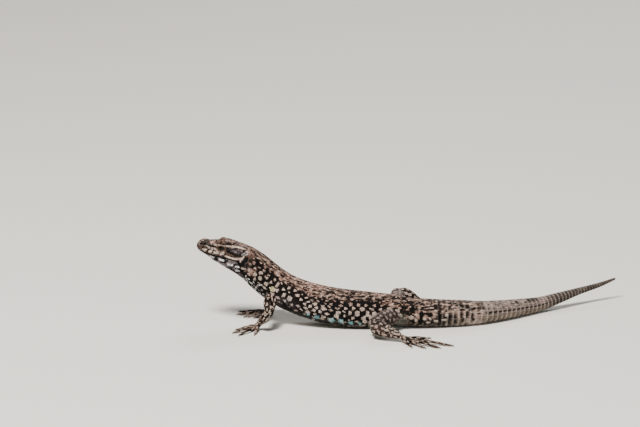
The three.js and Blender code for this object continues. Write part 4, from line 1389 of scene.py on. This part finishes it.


# The last number of each ring is painted shade: darkest at the rim, where a scale sinks into the skin
# between its neighbours.
GRAIN = Template([(1.0, 0.0, 0.62), (0.94, 0.55, 0.8), (0.6, 1.0, 1.04)], 8)
DORSAL = Template([(1.0, 0.0, 0.55), (0.93, 0.6, 0.82), (0.55, 1.0, 1.06)], 8, point_rear=0.15, keel=0.45)
KEELED = Template([(1.0, 0.0, 0.6), (0.96, 0.7, 0.92), (0.8, 0.92, 1.0), (0.5, 1.0, 1.02)], 12,
                  point_rear=0.22, square=4.0, keel=0.9, edge=0.3)
PLATE = Template([(1.0, 0.0, 0.6), (0.97, 0.8, 0.9), (0.8, 1.0, 1.02), (0.4, 1.08, 1.0)], 16, square=4.5)


def even_angles(tube, s, first, last, count, stagger):
    """Angles at equal steps of surface round a section, from first to last."""
    fine = np.linspace(first, last, 181)
    middles, step = (fine[1:] + fine[:-1]) / 2, 0.01
    across = tube.surface(s, middles + step) - tube.surface(s, middles - step)
    total = np.concatenate([[0], np.cumsum(np.linalg.norm(across, axis=-1) / (2 * step))])
    wanted = (np.arange(count) + 0.5 + stagger) / count
    wanted = wanted[(wanted > 0) & (wanted < 1)]
    return np.interp(wanted * total[-1], total, fine)


def chart_rows(tube, first, last, gap, start, end, width):
    """Staggered rows of places on a tube: length along, angle, row gap, and width."""
    rows = []
    s = first
    while s < last:
        around = tube.surface(np.full(121, s), np.linspace(start, end, 121))
        total = np.linalg.norm(np.diff(around, axis=0), axis=1).sum()
        count = max(3, int(round(total / width)))
        angles = even_angles(tube, s, start, end, count, 0.5 * (len(rows) % 2) - 0.25)
        n = len(angles)
        rows.append(np.column_stack([np.full(n, s), angles, np.full(n, gap), np.full(n, total / count)]))
        s += gap
    return np.concatenate(rows)


# ---------- The scales of neck, trunk and limbs ----------

chest_scales = Coat("scales_chest", "body_skin", SCALE)
loin_scales = Coat("scales_loin", "body_skin", SCALE)
neck_scales = Coat("scales_neck", "body_skin", SCALE)
limb_scales = {end: Coat(f"scales_{end}_limbs", "limb_skin", SCALE) for end in ("fore", "hind")}
toe_scales = Coat("scales_toes", "limb_skin", SCALE)
tail_scales = Coat("scales_tail", "tail_skin", SCALE)
belly_plates = Coat("scales_belly", "body_skin", SCALE)
head_shields = Coat("shields_head", "head_skin", SHIELD)
head_grains = Coat("scales_head", "head_skin", SCALE)
blockers, blocker_sizes = [], []  # places that scales already take up, and how wide


def block(points, size):
    """Notes places that scales take up."""
    blockers.append(points)
    blocker_sizes.append(np.broadcast_to(size, len(points)))


def block_round(s, angles, steps, turns, size):
    """Takes up the places of large scales on the body, some way along and round from each middle."""
    for step in steps:
        for turn in turns:
            block(BODY.surface(s + step, angles + turn, -0.1), size)


OVERLAP_ALONG, OVERLAP_ACROSS = 1.3, 1.04
SEAT_DEPTH, SEAT_SHIFT = 0.1, 0.9  # how deep seats are looked for, and how far the skin may be from them
LIMB_COVERS, BODY_COVERS = -0.22, -0.12  # heights from which another length hides a scale


def lay_rows(coat, tube, rows, own, thick, tilt):
    """Sets a tube's rows of scales on the true skin, but not where another length covers them."""
    centre = tube.surface(rows[:, 0], rows[:, 1], -SEAT_DEPTH)
    number, _, _, limb_height = limb_place(centre)
    if own == "body":
        keep = ~((number >= 0) & (limb_height < LIMB_COVERS))
    else:
        keep = (BODY.place(centre)[2] > BODY_COVERS) & (number == TUBE_NAMES.index(own))
        keep &= centre[:, 2] > 0.05
    rows, centre = rows[keep], centre[keep]
    spot, normal = on_skin(centre)
    near = np.linalg.norm(spot - centre, axis=1) < SEAT_SHIFT
    rows, spot, normal = rows[near], spot[near], normal[near]
    colour = paint(spot) * rng.uniform(0.72, 1.25, (len(spot), 1))
    jitter = rng.uniform(0.94, 1.06, len(rows))
    stamp(coat, DORSAL, spot, normal, tube.frame(rows[:, 0])[0], rows[:, 2] * OVERLAP_ALONG * jitter,
          rows[:, 3] * OVERLAP_ACROSS * jitter, thick, tilt, colour)
    block(spot, rows[:, 2] * 0.5)


BELLY_FROM, BELLY_TO = 25.0, 59.4
BACK_EDGE = 119 * DEGREE  # the small scales end here, this far round from the middle of the back
BACK_SCALE, NECK_ROW, NECK_SCALE = 0.40, 0.35, 0.37
CHEST_END = 42

rows = chart_rows(BODY, 24.9, 60.6, BACK_SCALE, math.pi / 2 - BACK_EDGE, math.pi / 2 + BACK_EDGE, BACK_SCALE)
front = rows[:, 0] < CHEST_END
lay_rows(chest_scales, BODY, rows[front], "body", 0.085, 0.05)
lay_rows(loin_scales, BODY, rows[~front], "body", 0.085, 0.05)
rows = chart_rows(BODY, 15.9, 24.7, NECK_ROW, -math.pi / 2, math.pi * 1.5, NECK_SCALE)
under_collar = (rows[:, 0] > 22.6) & (np.sin(rows[:, 1]) < -0.5)
lay_rows(neck_scales, BODY, rows[~under_collar], "body", 0.08, 0.05)

TOE_GAP = 0.36
SOLE_ROWS, ARM_ROWS, LEG_ROWS = (0.36, 0.3, 0.06, 0.04), (0.42, 0.4, 0.07, 0.05), (0.46, 0.4, 0.07, 0.05)
TOE_ROWS = ((90, 96, 0), (12, 74, 1), (168, 74, 1), (240, 78, 0), (300, 78, 0))  # place, width, shift
for name, tube in TUBES.items():
    part = name.split(".")[1]
    if part in ("upper", "lower", "sole"):
        size, first, thick, tilt = SOLE_ROWS if part == "sole" else LEG_ROWS if "hind" in name else ARM_ROWS
        rows = chart_rows(tube, first, tube.length - 0.1, size, 0.0, 2 * math.pi, size)
        lay_rows(limb_scales[name[:4]], tube, rows, name, thick, tilt)
        continue
    # Toes: broad scutes above, small ones at the sides, and ribbed pads below.
    for angle, turn, shift in TOE_ROWS:
        s = np.arange(0.5, tube.length - 0.05, TOE_GAP) + shift * TOE_GAP / 2
        s = s[s < tube.length - 0.03]
        around = np.full(len(s), angle * DEGREE)
        centre = tube.surface(s, around, -0.02)
        keep = (limb_place(centre)[0] == TUBE_NAMES.index(name)) & (centre[:, 2] > 0.02)
        if not keep.any():
            continue
        centre = centre[keep]
        colour = paint(centre) * rng.uniform(0.82, 1.12, (len(centre), 1))
        wrap(toe_scales, GRAIN, tube, s[keep], around[keep], TOE_GAP * 1.2, turn * DEGREE, 0.055, 0.04,
             -TOE_COAT, colour)
        block(centre, 0.2)

# ---------- Belly plates, collar and tail whorls ----------


def clear_of_limbs(s, angles):
    """The places of a ring that no limb covers."""
    return angles[~(limb_place(BODY.surface(np.full(len(angles), s), angles, -0.05))[3] < -0.1)]


PLATE_GAP, PLATES = 1.28, 6
PLATE_TURN = 126 * DEGREE / PLATES * 1.05
for s in np.arange(BELLY_FROM + 0.5, BELLY_TO, PLATE_GAP):
    angles = clear_of_limbs(s, even_angles(BODY, s, 207 * DEGREE, 333 * DEGREE, PLATES, 0.0))
    wrap(belly_plates, PLATE, BODY, s, angles, PLATE_GAP * 1.16, PLATE_TURN, 0.09, 0.07, -BODY_COAT)
    spread = np.array((-0.4, 0, 0.4))
    block_round(s, angles, spread * PLATE_GAP, spread * PLATE_TURN, 0.35)
# The collar: a fold of larger scales with a free edge behind.
COLLAR_AT = 23.8
collar = np.linspace(203, 337, 11) * DEGREE
wrap(belly_plates, PLATE, BODY, COLLAR_AT, collar, 1.7, 14.5 * DEGREE, 0.10, 0.22, -BODY_COAT)
block_round(COLLAR_AT, collar, (-0.5, 0, 0.5), (0,), 0.4)

for s, after in zip(WHORLS[:-1], WHORLS[1:]):
    ring, middle = after - s, s + (after - s) / 2
    width = np.interp(s, (60, 64, 69, 96, 112, 122), (0.45, 0.52, 0.66, 0.62, 0.5, 0.34))
    half = BODY.curve(np.array(middle))[3]
    count = max(8, int(round(2 * math.pi * half / width)))
    angles = clear_of_limbs(middle, 2 * math.pi * (np.arange(count) + 0.5) / count + math.pi / 2)
    slim = min(1.0, 0.35 + half * 0.35)  # scales thin out towards the tip
    wrap(tail_scales, KEELED, BODY, middle, angles, ring * 1.16, 2 * math.pi / count * 1.04,
         0.075 * slim, 0.09 * slim, -BODY_COAT, blend=np.interp(s, (70, 78), (0.3, 1.0)), vary=0.1)
    block_round(middle, angles, (-0.3 * ring, 0.3 * ring), (0,), 0.4)

# ---------- The shields of the head ----------


def mouth_angle(s):
    return angle_of_up(s, np.interp(s, MOUTH_BACK, MOUTH_UP), 1)


def chart_top(b, across, side):
    return b, angle_of_out(b, across * side)


def chart_side(b, up, side):
    return b, angle_of_up(b, up, side)


def chart_chin(b, share, side):
    """share runs from the mouth's line, 0, to the middle of the chin, 1."""
    angle = mouth_angle(b) * (1 - share) - math.pi / 2 * share
    return b, angle if side > 0 else math.pi - angle


def chart_ring(b, arc, side):
    return b, math.pi / 2 - arc / 1.5


SHIELD_GAP, SHIELD_STEP, SHIELD_THICK, SHIELD_ROOT = 0.035, 0.13, 0.10, -0.05
# Rings from rim to middle: share of the outline, height in thicknesses (None is the root's) and
# in domes, and painted shade, darkest on the walls in the gaps between shields.
SHIELD_RINGS = (
    (1, None, 0, 0.35), (1, 0.62, 0, 0.55), (0.945, 1, 0, 0.86), (0.86, 1, 0.45, 0.98), (0.72, 1, 0.7, 1.0),
    (0.56, 1, 0.9, 1.0), (0.38, 1, 1, 1.0), (0.2, 1, 1, 1.0))


def shield(outline, chart, side, thick=SHIELD_THICK, dome=0.03, stretch=1.0):
    """A horny plate on the head: its outline in one of the charts, crowned a little."""
    outline = np.array(outline, float)
    edge = []
    for a, b in zip(outline, np.roll(outline, -1, 0)):
        reach = np.hypot(b[0] - a[0], (b[1] - a[1]) * stretch)
        count = max(1, int(math.ceil(reach / SHIELD_STEP)))
        edge += [a + (b - a) * i / count for i in range(count)]
    edge = np.array(edge)
    for _ in range(2):  # soften the corners
        edge = edge * 0.6 + (np.roll(edge, 1, 0) + np.roll(edge, -1, 0)) * 0.2
    middle = edge.mean(0)
    reach = np.hypot(edge[:, 0] - middle[0], (edge[:, 1] - middle[1]) * stretch)[:, None]
    points, shades = [], []
    for size, share, crown, shade in SHIELD_RINGS:
        at = middle + (edge - middle) * size * np.maximum(0.3, 1 - SHIELD_GAP / reach)
        height = SHIELD_ROOT if share is None else thick * share + dome * crown
        s, angle = chart(np.clip(at[:, 0], 0.005, None), at[:, 1], side)
        points.append(BODY.surface(s, angle, height - BODY_COAT))
        shades.append(np.full(len(at), shade))
    s, angle = chart(middle[:1], middle[1:], side)
    points += [BODY.surface(s, angle, high - BODY_COAT) for high in (thick + dome, SHIELD_ROOT)]
    points, shades = np.concatenate(points), np.concatenate(shades + [[1.0, 0.4]])
    index, after, quads = ring_quads(len(SHIELD_RINGS), len(edge))
    top = index.size
    tris = np.concatenate(end_fans(index, after, top + 1, top)[::-1])
    # Turn the faces outwards, whichever way the outline runs.
    a, b, c = points[index[3, 0]], points[after[3, 0]], points[top]
    if np.dot(np.cross(a - c, b - c), c - BODY.curve(s)[0, :3]) < 0:
        quads, tris = quads[:, ::-1], tris[:, ::-1]
    head_shields.add(points, quads, tris, paint(points) * shades[:, None], unwrap(points))
    block(points[len(edge):], 0.26)


MIDDLE_SHIELDS = {  # back from the snout and out to the side, half of each outline
    "frontonasal": ((1.25, 0), (1.55, 0.8), (2.45, 1.2), (3.25, 0.75), (3.45, 0)),
    "frontal": ((4.45, 0), (4.95, 0.62), (6.3, 0.66), (7.9, 0.56), (8.15, 0)),
    "interparietal": ((9.2, 0), (9.6, 0.34), (10.9, 0.26), (11.2, 0)),
    "occipital": ((11.25, 0), (11.2, 0.3), (12.5, 0.42), (12.6, 0)),
}
PAIRED_SHIELDS = {
    "supranasal": ((0.75, 0), (0.85, 1.05), (1.45, 1.32), (1.5, 0.82), (1.2, 0)),
    "supranasal_side": ((1.6, 0.86), (1.5, 1.36), (2.5, 1.5), (2.45, 1.25)),
    "prefrontal": ((3.5, 0), (3.3, 0.8), (2.55, 1.28), (3.2, 1.75), (4.5, 1.6), (4.9, 0.66), (4.42, 0)),
    "loreal_top": ((2.6, 1.42), (2.55, 1.62), (3.4, 2.0), (4.5, 2.2), (4.5, 1.7), (3.2, 1.82)),
    "supraocular_1": ((4.95, 0.72), (4.6, 1.6), (4.75, 2.2), (5.25, 1.7), (5.2, 0.74)),
    "supraocular_2": ((5.25, 0.72), (5.3, 1.75), (5.0, 2.25), (6.7, 2.35), (6.7, 0.72)),
    "supraocular_3": ((6.78, 0.70), (6.78, 2.35), (8.3, 2.3), (8.35, 1.2), (7.95, 0.64)),
    "supraocular_4": ((8.42, 0.95), (8.4, 2.3), (9.1, 2.1), (9.25, 1.5), (8.95, 1.08)),
    "frontoparietal": ((8.2, 0), (7.98, 0.56), (8.4, 0.85), (8.95, 1.02), (9.75, 1.0), (9.6, 0.42),
                       (9.18, 0)),
    "parietal": ((9.68, 0.42), (9.82, 1.05), (9.3, 1.55), (9.2, 2.3), (10.3, 2.75), (11.8, 2.75),
                 (12.75, 2.2), (12.85, 0.5), (12.55, 0.48), (11.2, 0.36), (10.9, 0.32)),
}
SIDE_SHIELDS = {  # back from the snout and up from the axis
    "nasal": ((0.95, 0.12), (1.7, 0.2), (1.72, 1.1), (1.72, 1.62), (0.95, 1.35)),
    "nasal_low": ((1.75, 0.2), (2.3, 0.25), (2.25, 1.12), (1.78, 1.12)),
    "postnasal": ((2.35, 0.25), (3.15, 0.42), (3.2, 1.6), (2.3, 1.72), (2.3, 1.1)),
    "loreal": ((3.2, 0.45), (4.5, 0.62), (4.75, 1.35), (4.5, 1.95), (3.25, 1.65)),
    "preocular": ((4.55, 0.62), (5.3, 0.85), (5.15, 1.25), (4.85, 1.6), (4.78, 1.35)),
    "masseteric": ((9.9, 1.9), (10.6, 1.6), (11.2, 2.0), (11.1, 2.7), (10.3, 2.85), (9.8, 2.5)),
    "tympanic": ((12.1, 2.85), (13.3, 2.95), (13.5, 3.25), (12.3, 3.25)),
    "temporal_1": ((8.7, 3.0), (9.9, 3.12), (10.0, 3.4), (8.8, 3.25)),
    "temporal_2": ((9.98, 3.14), (11.2, 3.2), (11.3, 3.48), (10.08, 3.42)),
    "temporal_3": ((11.28, 3.2), (12.1, 3.2), (12.2, 3.5), (11.38, 3.5)),
}
LIP = (0.9, 2.25, 3.5, 4.75, 6.05, 8.3, 9.8, 11.4)
LIP_TOP = (0.05, 0.15, 0.32, 0.52, 0.82, 0.95, 1.02, 1.15)
LOWER_LIP = (0.95, 2.1, 3.5, 5.0, 6.7, 8.6, 10.4, 11.6)
LIP_DEEP = (0.34, 0.30, 0.27, 0.25, 0.24, 0.23, 0.2, 0.16)
CHIN = (1.5, 3.1, 4.9, 7.0, 9.1, 10.8)
CHIN_INNER = ((0.98, 0.98), (0.98, 0.98), (0.98, 0.98), (0.98, 0.80), (0.78, 0.62))


for outline in MIDDLE_SHIELDS.values():
    other = [(b, -across) for b, across in outline[-2:0:-1]]
    shield(list(outline) + other, chart_top, 1)
for side in (-1, 1):
    for outline in PAIRED_SHIELDS.values():
        shield([(b, max(across, 0.001)) for b, across in outline], chart_top, side)
    for outline in SIDE_SHIELDS.values():
        shield(outline, chart_side, side)
    lower = [(b, np.interp(b, MOUTH_BACK, MOUTH_UP) + 0.07) for b in LIP]
    upper = [(b + 0.12, up) for b, up in zip(LIP, LIP_TOP)]
    for i in range(len(LIP) - 1):
        shield([lower[i], lower[i + 1], upper[i + 1], upper[i]], chart_side, side)
    for i in range(len(LOWER_LIP) - 1):
        shield([(LOWER_LIP[i], 0.04), (LOWER_LIP[i + 1], 0.03), (LOWER_LIP[i + 1] - 0.1, LIP_DEEP[i + 1]),
                (LOWER_LIP[i] - 0.1, LIP_DEEP[i])], chart_chin, side, stretch=4)
    for i in range(len(CHIN) - 1):
        outer = [np.interp(CHIN[i + k], (1, 3, 5, 12), (0.38, 0.33, 0.28, 0.2)) for k in (0, 1)]
        shield([(CHIN[i], outer[0]), (CHIN[i + 1], outer[1]), (CHIN[i + 1] - 0.15, CHIN_INNER[i][1]),
                (CHIN[i] - 0.15, CHIN_INNER[i][0])], chart_chin, side, stretch=4)
    # Small shields over the eye.
    brow = np.linspace(4.75, 8.9, 7)
    for b0, b1 in zip(brow[:-1], brow[1:]):
        shield([(b0, 2.42), (b1, 2.44), (b1 + 0.12, 2.74), (b0 + 0.12, 2.72)], chart_top, side,
               thick=0.13, dome=0.04)
shield([(0.004, -2.6), (0.004, 2.6), (0.84, 2.3), (0.7, 0.9), (0.68, -0.9), (0.84, -2.3)], chart_ring, 1)
shield([(0.004, -7.3), (0.004, -2.9), (0.9, -2.95), (1.42, -4.0), (1.42, -5.6), (0.9, -6.6)], chart_ring, 1)

# The last number is painted shade: the inner row, in the crease against the eyeball, is painted darkest.
LID_ROWS = (  # how far out from the slit, count, size, height in lids, shade
    (1.10, 30, 0.21, 1.12, 0.40), (1.22, 32, 0.22, 1.30, 0.9))
for eye in EYES.values():
    for spread, count, size, rise, shade in LID_ROWS:
        theta = 2 * np.pi * np.arange(count) / count + spread * 3
        way = eye_way(eye, OPEN_LONG * np.cos(theta) * spread / EYE_RADIUS,
                      OPEN_TALL * np.sin(theta) * spread / EYE_RADIUS)
        centre = eye["centre"] + way * (EYE_RADIUS + LID * rise)
        lie = np.roll(centre, -1, 0) - np.roll(centre, 1, 0)
        stamp(head_grains, GRAIN, centre, way, lie, size, size * 0.8, 0.06, 0.0, paint(centre) * shade)
        block(centre, size * 0.8)

# ---------- Granules wherever the skin is still bare ----------


HEAD_GRAIN, BODY_GRAIN, LID_GRAIN = 0.30, 0.40, 0.24
EYE_DARTS, HEAD_DARTS, BODY_DARTS = (14000, 7), (45000, 6), (55000, 5)  # how many places, and the seed
CELL = 0.4  # the places are looked up in cells of this width
ROOM_LAID, ROOM_NEW, ROOM_GRAIN = 0.5, 0.36, 0.84  # shares of their sizes that scales keep free


def scatter(count, seed, faces):
    """Random places on some of the skin's faces, with their normals."""
    dice = np.random.default_rng(seed)
    a, b, c = (skin_points[faces[:, k]] for k in range(3))
    area = np.linalg.norm(np.cross(b - a, c - a), axis=1)
    corners = faces[dice.choice(len(faces), count, p=area / area.sum())]
    r1, r2 = np.sqrt(dice.random(count)), dice.random(count)
    weights = np.stack([1 - r1, r1 * (1 - r2), r1 * r2], 1)
    points = (skin_points[corners] * weights[..., None]).sum(1)
    return points, unit((skin_normals[corners] * weights[..., None]).sum(1))


def thin_out(points, sizes):
    """Keeps places no closer to each other than their sizes, or to scales already laid."""
    blocked, reach = np.concatenate(blockers), np.concatenate(blocker_sizes)
    grid = {}
    for i, key in enumerate(map(tuple, np.floor(blocked / CELL).astype(int))):
        grid.setdefault(key, []).append((blocked[i], reach[i]))
    steps = [(x, y, z) for x in (-1, 0, 1) for y in (-1, 0, 1) for z in (-1, 0, 1)]
    kept = []
    for i, point in enumerate(points):
        base = tuple(np.floor(point / CELL).astype(int))
        free = True
        for dx, dy, dz in steps:
            for p, r in grid.get((base[0] + dx, base[1] + dy, base[2] + dz), ()):
                d = point - p
                if d[0] * d[0] + d[1] * d[1] + d[2] * d[2] < (r * ROOM_LAID + sizes[i] * ROOM_NEW) ** 2:
                    free = False
                    break
            if not free:
                break
        if free:
            kept.append(i)
            grid.setdefault(base, []).append((point, sizes[i] * ROOM_GRAIN))
    return np.array(kept, int)


first_corner = skin_points[skin_faces[:, 0]]
head_faces = (first_corner[:, 0] < BODY.curve(np.array(HEAD_END))[0]) & (first_corner[:, 2] > HEAD_LOW)
eye_faces = np.zeros(len(skin_faces), bool)
for eye in EYES.values():
    eye_faces |= np.linalg.norm(first_corner - eye["centre"], axis=1) < 2.6
points, normals = (np.concatenate(both) for both in zip(
    scatter(*EYE_DARTS, skin_faces[eye_faces]), scatter(*HEAD_DARTS, skin_faces[head_faces]),
    scatter(*BODY_DARTS, skin_faces)))
s, angle, height, up, out = BODY.place(points)
number, _, _, limb_height = limb_place(points)
on_head = (s < HEAD_END) & (points[:, 2] > HEAD_LOW)
sizes = np.where(on_head, HEAD_GRAIN, BODY_GRAIN)
keep = (points[:, 2] > 0.12) & ((rng.random(len(points)) < 0.5) | on_head)
is_toe = np.array([".toe" in name for name in TUBES] + [False])  # the last is for no limb, number -1
keep &= ~(is_toe[number] & (limb_height < height))
# The ear's opening and nostril stay bare.
ear = np.hypot((s - EAR_BACK) / (EAR_WIDE + 0.1), (up - EAR_UP) / (EAR_LONG + 0.05)) < 1
keep &= ~(ear & (np.abs(out) > 2))
keep &= ~((np.hypot(s - NOSTRIL_BACK, up - NOSTRIL_UP) < 0.42) & (np.abs(out) > 0.5))
for eye in EYES.values():
    slit, over, outward, distance = eye_plane(eye, points)
    keep &= ~((lid_rim(slit, over, distance) < 1.2) & (distance < 1.65) & (outward > 0))
    sizes = np.where((distance < 2.1) & (outward > 0), LID_GRAIN, sizes)
chosen = np.nonzero(keep)[0]
chosen = chosen[thin_out(points[chosen], sizes[chosen])]
points, normals, sizes, s, on_head = (x[chosen] for x in (points, normals, sizes, s, on_head))
colour = paint(points) * rng.uniform(0.85, 1.12, (len(points), 1))
lie = BODY.frame(s)[0]
for coat, part in ((head_grains, on_head), (neck_scales, ~on_head)):
    stamp(coat, GRAIN, points[part], normals[part], lie[part], sizes[part] * 1.2, sizes[part] * 1.05,
          0.075, 0.03, colour[part])

for coat in (chest_scales, loin_scales, neck_scales, limb_scales["fore"], limb_scales["hind"],
             toe_scales, tail_scales, belly_plates, head_shields, head_grains):
    coat.finish()

# ---------- The skin, eyes, ear drums and claws ----------

# Painted shade: the skin in the gaps under and between the scales is painted darker.
SKIN_SHADE = 0.62  # the skin between the scales is darker than they are
points, lid_quads = skin_points, []
for eye in EYES.values():
    lid_points, quads = lid_ring(eye)
    lid_quads.append(quads + len(points))
    points = np.concatenate([points, lid_points])
skin = make_mesh("skin", points, [skin_faces, np.concatenate(lid_quads)])
flesh = ["head", "lower_jaw", "neck", "trunk", "tail_root", "tail_regrown_front",
         "tail_regrown_middle", "tail_regrown_tip"]
for side in ("left", "right"):
    flesh += [f"{part}_{side}" for part in ("upper_arm", "forearm", "hand", "thigh", "shank", "foot")]
dress(skin, paint(points) * SKIN_SHADE, unwrap(points), SKIN, "body_skin", *flesh)

PUPIL, IRIS = 0.42, 0.84
BALL_TURNS, BALL_RINGS = 72, 60
BULGE, BULGE_WIDE = 0.035, 0.42  # the clear front stands out a little
DRUM_TURNS, DRUM_RINGS = 40, 10
DRUM_DEPTH, DRUM_SAG = -0.64, 0.08
for name, eye in EYES.items():
    theta = np.pi * np.linspace(0.0, 1.0, BALL_RINGS) ** 1.25
    phi = 2 * np.pi * np.arange(BALL_TURNS) / BALL_TURNS
    look = unit(eye["out"] - eye["back"] * 0.12 + eye["up"] * 0.06)
    first = unit(np.cross(look, np.array([0, 0, 1.0])))
    second = np.cross(look, first)
    way = (np.cos(theta)[:, None, None] * look + np.sin(theta)[:, None, None] * (
        np.cos(phi)[None, :, None] * first + np.sin(phi)[None, :, None] * second))
    bulge = 1 + BULGE * np.exp(-(theta / BULGE_WIDE) ** 2)
    points = eye["centre"] + way * (EYE_RADIUS * bulge)[:, None, None]
    theta, phi = np.repeat(theta, BALL_TURNS), np.tile(phi, BALL_RINGS)
    reach = np.where(theta > np.pi / 2, 9, EYE_RADIUS * np.sin(theta))
    streak = noise(np.column_stack([np.cos(phi) * 9, np.sin(phi) * 9, reach * 1.5]), 1.0, 3)
    ball = mix(tint(34, 22, 15), tint(15, 10, 8), smooth(0.35, 0.65, streak))
    ball = mix(ball, tint(72, 46, 27), np.exp(-((reach - PUPIL - 0.045) / 0.03) ** 2) * 0.7)
    ball = mix(ball, tint(5, 4, 4), smooth(PUPIL + 0.02, PUPIL - 0.02, reach))
    ball = mix(ball, tint(12, 9, 8), smooth(IRIS - 0.16, IRIS + 0.02, reach))
    piece = make_mesh(f"eyeball_{name}", points.reshape(-1, 3), [ring_quads(BALL_RINGS, BALL_TURNS)[2]])
    dress(piece, ball, np.column_stack([phi / 7, theta / 3.5]), EYE, "eye", f"eye_{name}")

    # The drum: a thin skin sagging inwards across the ear's opening.
    size = np.linspace(0.02, 1.15, DRUM_RINGS)[:, None]
    theta = 2 * np.pi * np.arange(DRUM_TURNS) / DRUM_TURNS
    tall, wide = EAR_LONG * np.sin(theta), EAR_WIDE * np.cos(theta)
    back = EAR_BACK + (wide * EAR_COS + tall * EAR_SIN)[None] * size
    up = EAR_UP + (tall * EAR_COS - wide * EAR_SIN)[None] * size
    depth = DRUM_DEPTH - DRUM_SAG * (1 - np.minimum(size, 1) ** 2)
    points = BODY.surface(back, angle_of_up(back, up, eye["side"]), depth).reshape(-1, 3)
    quads = ring_quads(DRUM_RINGS, DRUM_TURNS)[2]
    drum = make_mesh(f"drum_{name}", points, [quads if eye["side"] > 0 else quads[:, ::-1]])
    # Near black: the drum's own dark colour with the painted shade of the deep ear, and blue-grey patches of
    # painted sheen.
    grey = mix(tint(6, 6, 6), tint(22, 28, 31), smooth(0.5, 0.85, noise(points, 0.5, 8)))
    dress(drum, grey, unwrap(points), DRUM, "ear_drum", f"ear_drum_{name}")

CLAW_RINGS, CLAW_TURNS = 26, 14
for limb_name in LIMBS:
    tubes = [tube for name, tube in CLAWS.items() if name.startswith(limb_name)]
    points, faces = joined([loft(tube, CLAW_RINGS, CLAW_TURNS, 0.0) for tube in tubes])
    rest_on_floor(points)
    piece = make_mesh(f"claws_{limb_name}", points, faces)
    share = np.repeat(np.linspace(0, 1, CLAW_RINGS), CLAW_TURNS)
    share = np.tile(np.concatenate([share, [0, 1]]), len(tubes))
    horn = mix(tint(64, 50, 42), tint(132, 112, 92), smooth(0.35, 0.95, share))
    per = len(points) // len(tubes)
    uv = np.column_stack([share * 0.9 + 0.05, 0.1 + 0.8 * (np.arange(len(points)) % per) / per])
    dress(piece, horn, uv, CLAW, "claw", *[f"claw_{limb_name}_{number}" for number in range(1, 6)])

# ---------- The end --------------------

bpy.context.view_layer.update()
